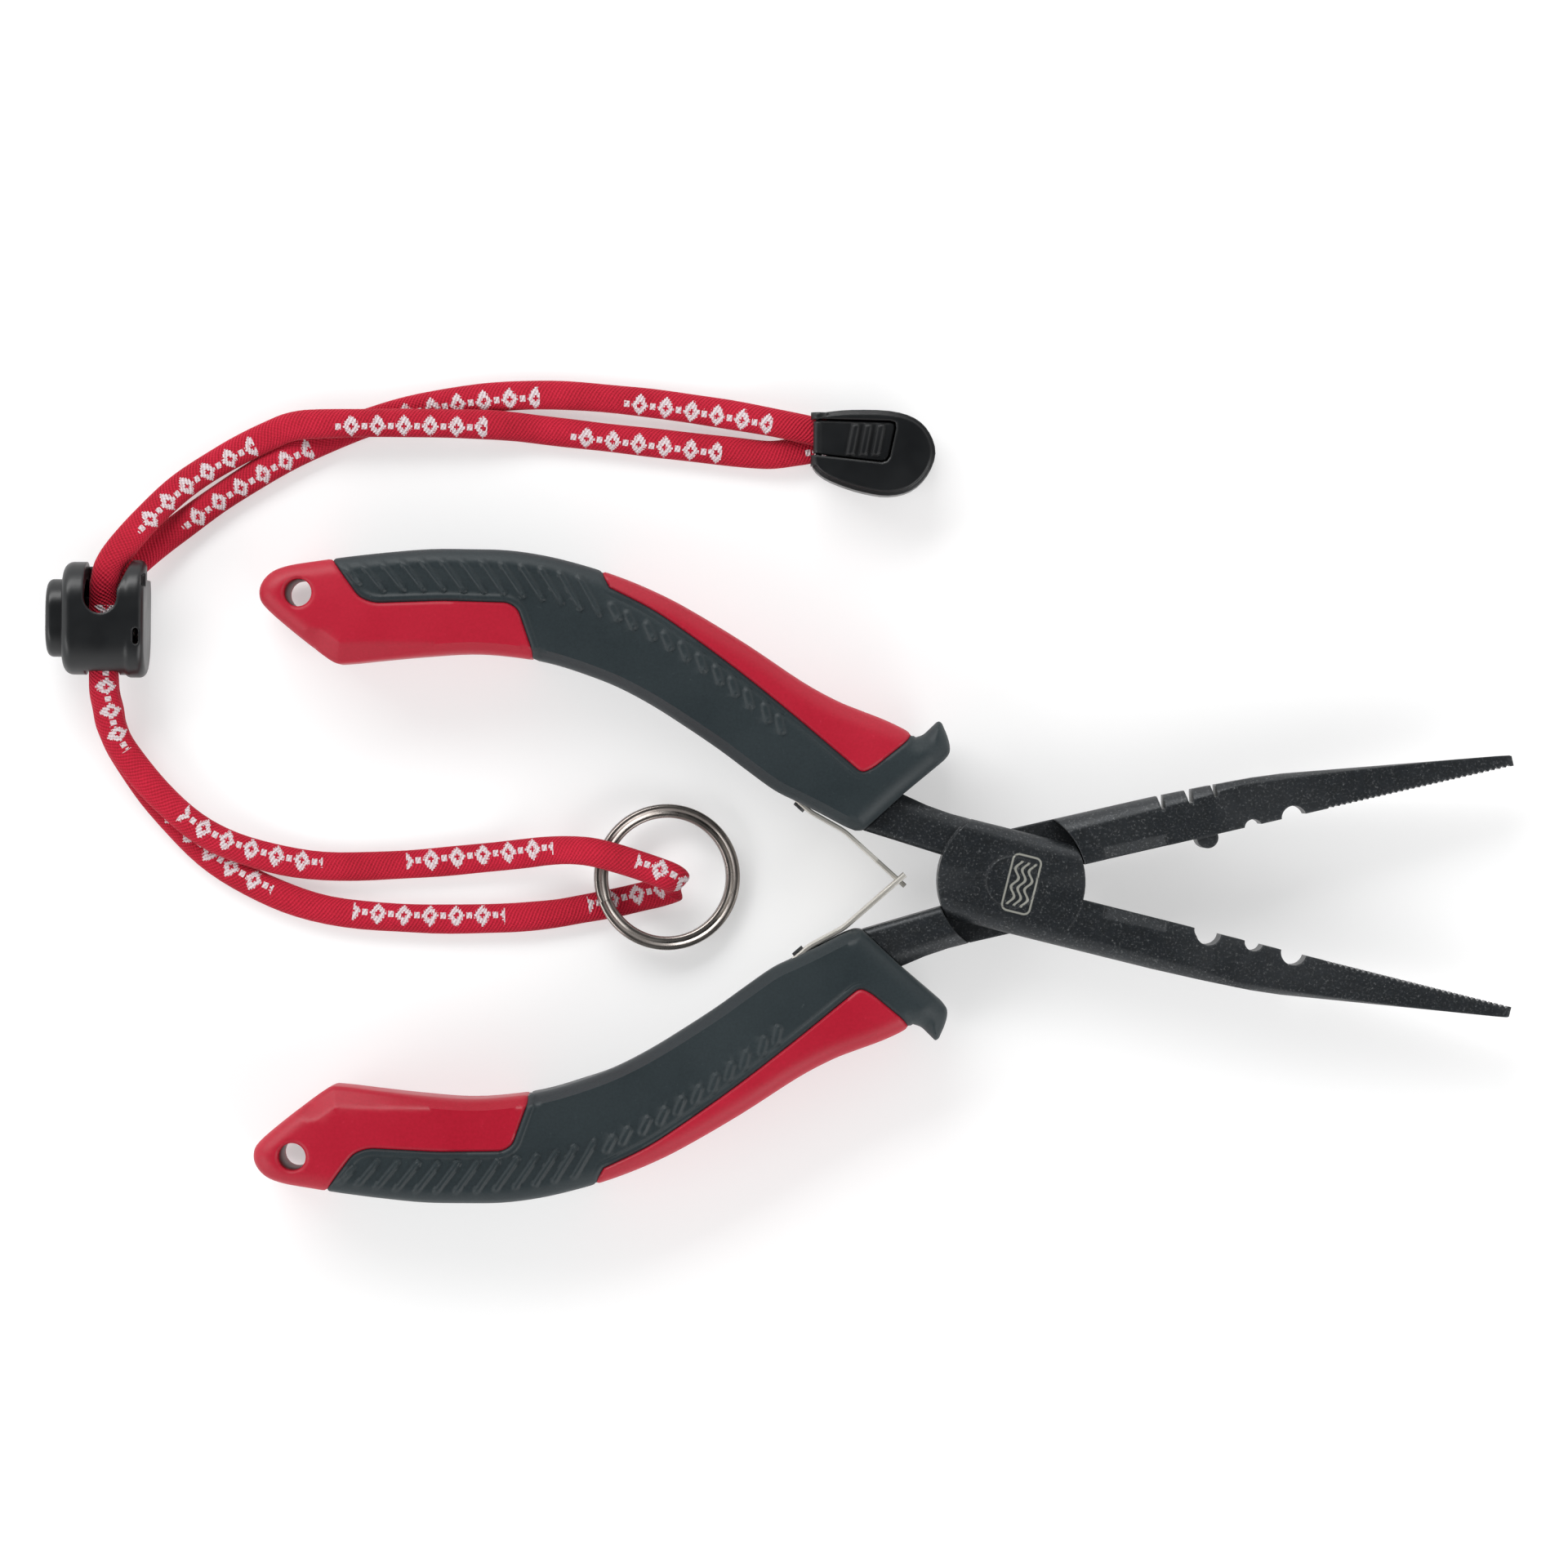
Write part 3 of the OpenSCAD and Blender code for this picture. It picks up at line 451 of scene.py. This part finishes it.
def relief(outline, holes, top, bottom, edge_rows, spacing, extra=()):
    """A solid over a plan outline, in mm: both faces follow height functions, with upright sides."""
    loops = [np.array(outline)] + [np.array(h) for h in holes]
    rim = np.vstack(loops)
    inner = []
    for loop in loops:
        ahead, behind = np.roll(loop, -1, axis=0), np.roll(loop, 1, axis=0)
        t = ahead - behind
        t /= np.maximum(np.linalg.norm(t, axis=1, keepdims=True), 1e-9)
        n = np.stack([-t[:, 1], t[:, 0]], 1)
        for row in edge_rows:
            q = loop + n * row
            keep = np.ones(len(q), bool)
            for other in loops:
                keep &= gap_to(q, other, True) > 0.93 * row
            inner.append(q[keep])
    lo, hi = rim.min(0), rim.max(0)
    rows = []
    for r, y in enumerate(np.arange(lo[1], hi[1], spacing * 0.87)):
        xs = np.arange(lo[0] + (r % 2) * spacing / 2, hi[0], spacing)
        rows.append(np.stack([xs, np.full_like(xs, y)], 1))
    deep = max(edge_rows) + spacing * 0.45
    cell, kept = {}, []

    def take(pts, apart, reach):
        """Keeps the points that are far enough from each one kept before."""
        size = 0.6
        for q in pts:
            cx, cy = int(math.floor(q[0] / size)), int(math.floor(q[1] / size))
            near = [p for dx in (-1, 0, 1) for dy in (-1, 0, 1) for p in cell.get((cx + dx, cy + dy), ())]
            if all((p[0] - q[0]) ** 2 + (p[1] - q[1]) ** 2 > apart ** 2 for p in near):
                kept.append(q)
                if reach:
                    cell.setdefault((cx, cy), []).append(q)

    def within(pts, least):
        ok = inside(pts, loops[0])
        for h in loops[1:]:
            ok &= ~inside(pts, h)
        pts = pts[ok]
        for loop in loops:
            if len(pts):
                pts = pts[gap_to(pts, loop, True) > least]
        return pts

    for pts in extra:
        take(within(np.array(pts), 0.12), 0.13, True)
    for pts in inner:
        take(pts, 0.13 if len(kept) < 50 else 0.16, True)
    take(within(np.vstack(rows), deep), 0.5, True)
    points = np.vstack([rim, np.array(kept)])
    edges, start = [], 0
    for loop in loops:
        m = len(loop)
        edges += [(start + i, start + (i + 1) % m) for i in range(m)]
        start += m
    out = delaunay_2d_cdt([Vector(p) for p in points], edges, [], 0, 1e-5)
    flat = np.array([tuple(v) for v in out[0]])
    tris = [t for t in out[2] if len(t) == 3]
    middle = np.array([flat[list(t)].mean(0) for t in tris])
    ok = inside(middle, loops[0])
    for h in loops[1:]:
        ok &= ~inside(middle, h)
    tris = [t for t, good in zip(tris, ok) if good]
    n = len(flat)
    upper, lower = top(flat), bottom(flat)
    verts = np.vstack([np.column_stack([flat, upper]), np.column_stack([flat, lower])])
    faces = [tuple(t) for t in tris] + [tuple(n + i for i in reversed(t)) for t in tris]
    count = {}
    for t in tris:
        for a, b in zip(t, (t[1], t[2], t[0])):
            count[(a, b)] = True
    for a, b in list(count):
        if (b, a) not in count:
            faces.append((a, b, n + b, n + a)[::-1])
    return verts, faces


def place(verts, lower_side=False, about=OPEN):
    """From a closed-handle outline in mm to the row frame in metres."""
    v = np.array(verts, float)
    turn = -about
    if lower_side:
        v[:, 1] = -v[:, 1]
        turn = about
    x = v[:, 0] * math.cos(turn) - v[:, 1] * math.sin(turn) + PIVOT_X
    y = v[:, 0] * math.sin(turn) + v[:, 1] * math.cos(turn)
    return np.column_stack([x, y, v[:, 2]]) * MM


# ---------------------------------------------------------------- lanyard cord

ROUTE = [
    (-25, 69.6, 3.9), (-31, 71.3, 4.3), (-48, 74.6, 1.3), (-74, 77.1, 1.1), (-97, 74.4, 1.1),
    (-117, 66.4, 1.1), (-133.5, 55.3, 1.3), (-142.9, 46.8, 4.4), (-144.9, 42.6, 5.1),
    (-144.9, 31.5, 4.8), (-144.3, 26, 2.9), (-141.8, 18.5, 1.2), (-128.6, 3, 1.1), (-109, -5.9, 1.1),
    (-82, -6.9, 1.1), (-68, -5.2, 1.1), (-59.2, -3.3, 1.15), (-55.1, -2.2, 1.9), (-53.2, -1.1, 4.1),
    (-55.2, 0.5, 6.4), (-66, 3.8, 6.5), (-74, 4, 3.6), (-84, 2.8, 1.5), (-110, 1.2, 1.2),
    (-129, 6.5, 3.2), (-141.6, 19, 3.6), (-144.4, 26.4, 5.3), (-144.9, 31.5, 6.9), (-144.9, 42.6, 7.6),
    (-144.5, 46.8, 8.3), (-142.4, 51.4, 7.1), (-133, 61.9, 2.2), (-119, 70.2, 2), (-110, 72, 3.3),
    (-86, 72.2, 2.6), (-74, 71.3, 1.1), (-46, 68.4, 1.1), (-38, 67.9, 1.4), (-31, 68.9, 2.25),
    (-25, 67.8, 2.7),
]
FOLD = 36
CORD_W, CORD_T = 4.7, 1.95


def across_at(i, pts):
    """Across the flat cord at a route point: level, and kept the same way round the fold."""
    t = pts[min(i + 1, len(pts) - 1)] - pts[max(i - 1, 0)]
    t /= np.linalg.norm(t)
    level = math.hypot(t[0], t[1])
    share = min(1, max(0, (level - 0.35) / 0.25))
    turn = 1 if i < FOLD else -1
    a = share * turn * np.array([-t[1], t[0], 0]) / max(level, 0.01) + (1 - share) * np.array([0, 1.0, 0])
    return a / np.linalg.norm(a)


def make_cord():
    pts = smooth_line(ROUTE, 2)
    steps = 5
    path = smooth_line(pts, steps)
    path[:, 0] += PIVOT_X
    sides_at = np.array([across_at(i, pts) for i in range(len(pts))])
    across = smooth_line(sides_at, steps)
    tangent = np.gradient(path, axis=0)
    tangent /= np.linalg.norm(tangent, axis=1, keepdims=True)
    across -= (across * tangent).sum(1, keepdims=True) * tangent
    across /= np.linalg.norm(across, axis=1, keepdims=True)
    up = np.cross(tangent, across)
    k = 28
    theta = np.linspace(0, 2 * math.pi, k, endpoint=False)
    c, s = np.cos(theta), np.sin(theta)
    along = np.concatenate([[0], np.cumsum(np.linalg.norm(np.diff(path, axis=0), axis=1))])
    # the tape is never quite flat: its width and thickness breathe a little along it
    breathe = 1 + 0.018 * np.sin(along / 5.3) + 0.012 * np.sin(along / 2.1 + 1)
    verts = []
    for p, a, u, b in zip(path, across, up, breathe):
        w = np.sign(c) * np.abs(c) ** 0.85 * CORD_W / 2 * (2 - b) * 0.985
        h = np.sign(s) * np.abs(s) ** 0.8 * CORD_T / 2 * b
        verts += list(p + np.outer(w, a) + np.outer(h, u))
    n = len(path)
    faces = [(i * k + j, i * k + (j + 1) % k, (i + 1) * k + (j + 1) % k, (i + 1) * k + j)
             for i in range(n - 1) for j in range(k)]
    faces += [tuple(range(k))[::-1], tuple((n - 1) * k + j for j in range(k))]
    obj = new_object("lanyard_tape", np.array(verts) * MM, faces, CORD, "lanyard", "cord", 60)
    uv = obj.data.uv_layers.new(name="UVMap")
    for poly in obj.data.polygons:
        ids = [obj.data.loops[l].vertex_index for l in poly.loop_indices]
        js = [v % k for v in ids]
        wrap = max(js) - min(js) > k / 2
        for l, v, j in zip(poly.loop_indices, ids, js):
            uv.data[l].uv = (along[v // k] * MM, (j + (k if wrap and j < k / 2 else 0)) / k)
    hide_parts("lanyard_cord")
    line = path * MM
    length = float(np.linalg.norm(np.diff(line, axis=0), axis=1).sum())
    return length


cord_length = make_cord()


# ---------------------------------------------------------------- grips

OUTER = [(-20.3, 18.5), (-22.5, 19.3), (-26, 20), (-30, 20.5), (-34, 21.1), (-40, 22.7), (-50, 26.3),
         (-60, 29.4), (-66, 30.8), (-72, 31.7), (-78, 32.1), (-84, 32.1), (-90, 31.5), (-96, 30.2),
         (-102, 28.7), (-108, 26.7), (-114, 24.5), (-119, 22.5)]
TAIL = [(-119, 22.5), (-123, 20.8), (-125.4, 19.2), (-126.6, 17.2), (-126.6, 15.2), (-125.3, 13.5),
        (-121, 11.2), (-116, 8.9)]
INNER = [(-116, 8.9), (-112.6, 7.6), (-110.6, 7.9), (-105, 9.9), (-99, 12), (-92, 14.2), (-86, 15.3),
         (-80, 15.8), (-74, 15.5), (-68, 14.7), (-62, 13.2), (-56, 11.2), (-50, 9), (-45, 6.9),
         (-40, 4.9), (-36, 4), (-32, 3.1), (-28, 2.1), (-26, 1.8)]
FRONT = [(-26, 1.8), (-24.8, 2.1), (-20, 9.3), (-14.9, 16.2), (-14.4, 17.4), (-14.7, 18.6), (-15.5, 20),
         (-16.8, 21.7), (-17.4, 21.9), (-19.1, 19.2), (-20.3, 18.5)]
TAIL_SEAM = [(-117.4, 40), (-117, 23.6), (-111, 18.5), (-108.5, 18.2), (-98, 21.2), (-88, 23.4),
             (-86.2, 22.8), (-82.4, 16.9), (-82, 15), (-82, -10)]
PANEL_RUN = [(-73, 29.6), (-66, 28), (-60, 25.9), (-50, 21.8), (-40, 17.2), (-29.4, 12)]
HOLE_AT, HOLE_R = np.array([-120.6, 16.9]), 2.2


def grip_outline():
    front = rounded(FRONT, 0.7)
    return np.vstack([front[:-1], smooth_line(OUTER, 4)[:-1], smooth_line(TAIL, 4)[:-1],
                      smooth_line(INNER, 4)[:-1]])


def rib_lines():
    """Centre lines of the raised ribs: a run of long ones on the tail, then short ones by the panel."""
    long_ribs = []
    for x in np.arange(-112.0, -77.5, 3.1):
        y = np.interp(x, (-112, -102.9, -93.8, -87.6, -84.3, -77.9), (23.9, 26.5, 28.6, 29.3, 29.6, 29.9))
        fall = np.interp(x, (-112, -102.9, -93.8, -84.3, -77.9), (3.2, 3.4, 3.8, 4.0, 4.6))
        long_ribs.append((np.array([x, y]), np.array([x + 4.3, y - fall])))
    first = (np.array([-114.3, 22.7]), np.array([-111.6, 20.8]))
    short = []
    spots = smooth_line([(-71.2, 26.1), (-65.1, 24.5), (-59.1, 22.7), (-53, 20.4), (-47.4, 17.9),
                         (-41.6, 15.2)], 2)
    for k, p in enumerate(spots):
        angle = math.radians(-48 - 1.6 * k)
        half = np.array([math.cos(angle), math.sin(angle)]) * 1.05
        short.append((p - half, p + half))
    return [first] + long_ribs, short


def build_grip(lower_side):
    side = "lower" if lower_side else "upper"
    body = "back_half" if lower_side else "front_half"
    outline = grip_outline()
    tail_seam = rounded(TAIL_SEAM, 1.3, 6)
    panel_seam = np.vstack([rounded([(-75.4, 40), (-74.9, 31.7), (-73, 29.6)], 1.5)[:-1],
                            smooth_line(PANEL_RUN, 4),
                            rounded([(-29.4, 12), (-27.2, 10.9), (-25.6, 12.2), (-21, 18.2), (-20.6, 40)],
                                    1.7, 6)[1:]])
    tail, rest, tail_cut = split(outline, tail_seam)
    grey, panel, panel_cut = split(rest, panel_seam)
    outer_line = np.vstack([rounded(FRONT, 0.7), smooth_line(OUTER, 4), smooth_line(TAIL, 4)])
    inner_line = smooth_line(INNER, 4)
    long_ribs, short_ribs = rib_lines()
    ring = np.array([HOLE_AT + HOLE_R * np.array([math.cos(a), math.sin(a)])
                     for a in np.linspace(0, 2 * math.pi, 48, endpoint=False)])

    def edge_drop(q, r_out, in_wide, in_deep, beneath=False):
        d_out, d_in = gap_to(q, outer_line), gap_to(q, inner_line)
        m = np.clip(d_out, 0, r_out)
        a = (r_out - np.sqrt(np.maximum(r_out ** 2 - (r_out - m) ** 2, 0))) * 0.85
        if beneath:
            # the bevel is deep only where the ring can lie
            deep = step_up(-74, -68, q[:, 0]) * (1 - step_up(-38, -33, q[:, 0]))
            wide, in_deep = 2.3 + (in_wide - 2.3) * deep, 2.6 + (in_deep - 2.6) * deep
        else:
            wide = in_wide + 1.5 * step_up(96, 112, -q[:, 0])
        t = np.clip(1 - d_in / wide, 0, 1)
        b = in_deep * t + 0.5 * np.clip(1 - d_in / 0.4, 0, 1) ** 2
        near = np.minimum(d_in, d_out)
        return np.sqrt(a * a + b * b) + 0.45 * (1 - step_up(0, 8.5, near)) ** 1.5, d_out

    def seam_drop(q):
        d1, d2 = gap_to(q, tail_cut), gap_to(q, panel_cut)
        d = np.minimum(d1, d2)
        return 0.42 * np.clip(1 - d / 0.4, 0, 1) ** 2, d1, d2

    def guard_drop(q):
        u = (q[:, 0] + 20) * 0.551 + (q[:, 1] - 9.3) * 0.834
        return 1.2 * step_up(6.6, 9.4, u)

    def hole_drop(q):
        d = np.abs(np.linalg.norm(q - HOLE_AT, axis=1) - HOLE_R)
        return 0.5 * np.clip(1 - d / 0.6, 0, 1) ** 2

    def ribs(q):
        h = np.zeros(len(q))
        for wide, high, lines in ((0.4, 0.5, long_ribs), (0.5, 0.45, short_ribs)):
            for a, b in lines:
                near = np.abs(q - (a + b) / 2).max(1) < 5
                if near.any():
                    d = gap_to(q[near], np.array([a, b]))
                    t = np.clip((q[near] - a) @ (b - a) / ((b - a) @ (b - a)), 0, 1)
                    # each rib rises a little towards its inner end
                    crest = high * (0.75 + 0.4 * t ** 6)
                    h[near] = np.maximum(h[near], crest * (1 - step_up(0.5 * wide, 1.6 * wide, d)))
        return h

    def top_red(q):
        drop, _ = edge_drop(q, 3.0, 1.7, 2.3)
        return 16 - drop - seam_drop(q)[0] - guard_drop(q) - hole_drop(q)

    def top_grey(q):
        drop, d_out = edge_drop(q, 3.0, 1.7, 2.3)
        s, d1, d2 = seam_drop(q)
        recess = step_up(0.95, 1.3, d1) * (1 - step_up(-84, -75, q[:, 0])) * step_up(1.8, 3.0, d_out)
        line = 0.14 * np.exp(-((d2 - 1.05) / 0.2) ** 2)
        line = line * step_up(24, 30, -q[:, 0]) * (1 - step_up(70, 76, -q[:, 0]))
        return 15.98 - drop - s - guard_drop(q) - 0.22 * recess - line + ribs(q) * step_up(0.9, 2.6, d_out)

    def bottom(q):
        drop, _ = edge_drop(q, 3.0, 3.4, 7.0, beneath=True)
        return drop + seam_drop(q)[0] + guard_drop(q) + hole_drop(q)

    def notch(loop, cuts):
        """Pulls the outline in where a seam reaches it, so that the groove shows from the side."""
        loop = spaced(loop, 0.55, True)
        ends = np.array([c for cut in cuts for c in (cut[0], cut[-1])])
        ahead, behind = np.roll(loop, -1, axis=0), np.roll(loop, 1, axis=0)
        t = ahead - behind
        t /= np.maximum(np.linalg.norm(t, axis=1, keepdims=True), 1e-9)
        n = np.stack([-t[:, 1], t[:, 0]], 1)
        on_rim = gap_to(loop, outline, True) < 0.02
        d = np.linalg.norm(loop[:, None] - ends[None], axis=2).min(1)
        return loop + n * (0.3 * np.clip(1 - d / 0.7, 0, 1) ** 2 * on_rim)[:, None]

    rows = (0.06, 0.18, 0.4, 0.75, 1.2, 1.7, 2.3, 2.9, 3.4)
    fine = []
    for lines in (long_ribs, short_ribs):
        for a, b in lines:
            along = (b - a) / np.linalg.norm(b - a)
            side_way = np.array([-along[1], along[0]])
            for t in np.arange(-0.8, np.linalg.norm(b - a) + 0.81, 0.3):
                for w in (0, -0.2, 0.2, -0.38, 0.38, -0.56, 0.56, -0.8, 0.8):
                    fine.append(a + along * t + side_way * w)
    grooves = []
    for cut, dists in ((tail_cut, (0.95, 1.12, 1.3)), (panel_cut, (0.75, 0.9, 1.05, 1.2, 1.35))):
        line = spaced(cut, 0.35)
        t = np.gradient(line, axis=0)
        t /= np.maximum(np.linalg.norm(t, axis=1, keepdims=True), 1e-9)
        n = np.stack([-t[:, 1], t[:, 0]], 1)
        for d in dists:
            for sign in (-1, 1):
                grooves.append(line + sign * n * d)
    grooves = np.vstack(grooves)
    for name, loop, holes, top, shader, slot, node, extra in (
            ("tail", notch(tail, [tail_cut]), [ring[::-1]], top_red, RED, "grip_red", "core", ()),
            ("panel", notch(panel, [panel_cut]), [], top_red, RED, "grip_red", None, ()),
            ("cover", notch(grey, [tail_cut, panel_cut]), [], top_grey, GREY, "grip_grey", "cover",
             (grooves, fine))):
        verts, faces = relief(loop, holes, top, bottom, rows, 1.1, extra)
        obj = new_object(f"{side}_grip_{name}_shell", place(verts, lower_side), faces, shader, body, slot, 42)
        if node:
            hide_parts(f"{side}_grip_{node}")


for lower in (False, True):
    build_grip(lower)


# ---------------------------------------------------------------- leaf springs

def build_spring(lower_side):
    side = "lower" if lower_side else "upper"
    blade, slope = 13, math.radians(28.1)
    line = rounded([(-38, 5.3), (-33.6, 2.95), (-27.6, 1.3),
                    (-27.6 + blade * math.cos(slope), 1.3 - blade * math.sin(slope))], 0.9, 6)
    line = spaced(line, 0.7)
    t = np.gradient(line, axis=0)
    t /= np.linalg.norm(t, axis=1, keepdims=True)
    n = np.stack([-t[:, 1], t[:, 0]], 1)
    run = np.concatenate([[0], np.cumsum(np.linalg.norm(np.diff(line, axis=0), axis=1))])
    left = run[-1] - run
    thick, half, r = 0.76, 4.0, 0.16
    verts, faces = [], []

    def strip(ids, z0f, z1f):
        base = len(verts)
        for i in ids:
            z0, z1 = z0f(left[i]), z1f(left[i])
            h = thick / 2
            for a, b in ((-h, z0 + r), (-h + r, z0), (h - r, z0), (h, z0 + r), (h, z1 - r), (h - r, z1),
                         (-h + r, z1), (-h, z1 - r)):
                p = line[i] + n[i] * a
                verts.append((p[0], p[1], MID + b))
        m = len(ids)
        for i in range(m - 1):
            here, ahead = base + i * 8, base + (i + 1) * 8
            for j in range(8):
                k = (j + 1) % 8
                faces.append((here + j, here + k, ahead + k, ahead + j))
        faces.append(tuple(base + j for j in range(8))[::-1])
        faces.append(tuple(base + (m - 1) * 8 + j for j in range(8)))

    body_ids = [i for i in range(len(line)) if left[i] > 5.4]
    tip_ids = [body_ids[-1]] + [i for i in range(len(line)) if left[i] <= 5.4]
    strip(body_ids, lambda s: -half, lambda s: half)
    if lower_side:
        strip(tip_ids, lambda s: -half, lambda s: -1.95)
        strip(tip_ids, lambda s: 1.95, lambda s: half)
    else:
        strip(tip_ids, lambda s: -1.4, lambda s: 1.4)
    obj = new_object(f"{side}_leaf_spring", place(verts, lower_side), faces, BRIGHT, None, "spring_steel", 30)
    bend = place([(-27.9, 1.4, MID), (-27.2, 1.1, MID)], lower_side)
    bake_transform(obj)
    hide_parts(f"{side}_spring_foot", f"{side}_spring_blade")


for lower in (False, True):
    build_spring(lower)


# ---------------------------------------------------------------- split ring

def build_ring():
    """One flattened wire wound twice, stepping up beside its cut ends."""
    centre_r, coil = 10.6, 1.08
    steps, turns = 120, 2
    cut = math.radians(213)
    verts, faces = [], []
    m = 28
    count = int(steps * turns * 0.985)
    # the wire is rolled with two soft ridges and a shallow groove between them
    half = [(-1.1, 0.0), (-1.07, 0.2), (-0.97, 0.38), (-0.78, 0.51), (-0.56, 0.54), (-0.34, 0.48),
            (-0.15, 0.35), (0.0, 0.27), (0.15, 0.35), (0.34, 0.48), (0.56, 0.54), (0.78, 0.51), (0.97, 0.38),
            (1.07, 0.2)]
    section = half + [(-x, -h) for x, h in half]
    for i in range(count + 1):
        a = 2 * math.pi * i / steps
        rise = coil * (1.02 * step_up(0.93, 1.07, np.array([a / (2 * math.pi)]))[0])
        ends = min(i, count - i)
        shrink = 0.82 + 0.18 * min(1, ends / 2)
        for s, h in section:
            r = centre_r + s * shrink
            verts.append((r * math.cos(cut + a), r * math.sin(cut + a), coil / 2 + rise + h * shrink))
    for i in range(count):
        for j in range(m):
            k = (j + 1) % m
            faces.append((i * m + j, i * m + k, (i + 1) * m + k, (i + 1) * m + j))
    faces.append(tuple(range(m))[::-1])
    faces.append(tuple(count * m + j for j in range(m)))
    v = np.array(verts)
    tilt = math.radians(7)
    x = v[:, 0] - 11.7
    out = np.column_stack([x * math.cos(tilt) + v[:, 2] * math.sin(tilt) - 43.3 + PIVOT_X, v[:, 1],
                           -x * math.sin(tilt) + v[:, 2] * math.cos(tilt)])
    obj = new_object("split_ring_wire", out * MM, faces, NICKEL, "ring", "dark_nickel", 50)
    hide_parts("split_ring")


build_ring()


# ---------------------------------------------------------------- the lock's coil spring

def build_lock_spring():
    """Two coils between the button and the lock's end wall; the mesh is a fixed shape and does not close up
    as the button goes in.
    """
    wire, turns, steps, sides = 0.22, 2, 32, 10
    low, high = (np.array(corner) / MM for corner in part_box("lock_spring"))
    middle = (low + high) / 2
    coil_r = (high[2] - low[2]) / 2 - wire
    start, end = low[0] + wire, high[0] - wire
    count = turns * steps
    verts, faces = [], []
    for i in range(count + 1):
        a = 2 * math.pi * i / steps
        for k in range(sides):
            b = 2 * math.pi * k / sides
            r = coil_r + wire * math.cos(b)
            verts.append((start + (end - start) * i / count + wire * math.sin(b),
                          middle[1] + r * math.cos(a), middle[2] + r * math.sin(a)))
    for i in range(count):
        for j in range(sides):
            k = (j + 1) % sides
            faces.append((i * sides + j, i * sides + k, (i + 1) * sides + k, (i + 1) * sides + j))
    faces.append(tuple(range(sides))[::-1])
    faces.append(tuple(count * sides + j for j in range(sides)))
    obj = new_object("lock_coil", np.array(verts) * MM, faces, BRIGHT, "lanyard", "spring_steel", 50)
    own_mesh(obj)
    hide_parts("lock_spring")


build_lock_spring()


# ---------------------------------------------------------------- CAD nodes that stay

for name, shader in (("front_half", MARKED), ("back_half", STEEL), ("pivot_rivet", MARKED),
                     ("upper_spring_rivet", STEEL), ("lower_spring_rivet", STEEL),
                     ("lock_body", BLACK), ("lock_plunger", BLACK), ("clip_body", BLACK), ("clip_lid", BLACK),
                     ("end_knot", CORD)):
    give(nodes[name], shader)


# ---------------------------------------------------------------- floor and light

def stage():
    size, level = 4.0, -0.0004
    mesh = bpy.data.meshes.new("floor")
    mesh.from_pydata([(x * size, y * size, level) for x, y in ((-1, -1), (1, -1), (1, 1), (-1, 1))],
                     [], [(0, 1, 2, 3)])
    floor = bpy.data.objects.new("floor", mesh)
    bpy.context.scene.collection.objects.link(floor)
    s = Shader("floor", (0.55, 0.55, 0.55), 0.9, Emission_Color=(1, 1, 1, 1), Emission_Strength=0.46)
    give(floor, s)
    world = bpy.data.worlds.new("studio")
    bpy.context.scene.world = world
    world.use_nodes = True
    tree = world.node_tree
    back = tree.nodes["Background"]
    # darker overhead than round the horizon, so that flat tops keep their own colour
    split_up = tree.nodes.new("ShaderNodeSeparateXYZ")
    where = tree.nodes.new("ShaderNodeTexCoord")
    fade = tree.nodes.new("ShaderNodeMapRange")
    tree.links.new(where.outputs["Generated"], split_up.inputs[0])
    tree.links.new(split_up.outputs[2], fade.inputs["Value"])
    fade.interpolation_type = "SMOOTHSTEP"
    for key, value in (("From Min", 0.25), ("From Max", 0.92), ("To Min", 1.15), ("To Max", 0.12)):
        fade.inputs[key].default_value = value
    tree.links.new(fade.outputs[0], back.inputs[1])
    back.inputs[0].default_value = (1, 1, 1, 1)
    for name, at, size_xy, power in (("key", (-0.5, 0.95, 0.75), (1.3, 0.5), 13.0),
                                     ("fill", (0.9, -0.7, 0.7), (1.2, 0.5), 8.0),
                                     ("side", (-1.0, -0.5, 0.7), (1.0, 0.4), 5.0)):
        light = bpy.data.lights.new(name, "AREA")
        light.shape = "RECTANGLE"
        light.size, light.size_y = size_xy
        light.energy = power
        obj = bpy.data.objects.new(name, light)
        obj.location = at
        obj.rotation_euler = (Vector((0, 0, 0)) - Vector(at)).to_track_quat("-Z", "Y").to_euler()
        bpy.context.scene.collection.objects.link(obj)
    bpy.context.scene.view_settings.view_transform = "Standard"


stage()
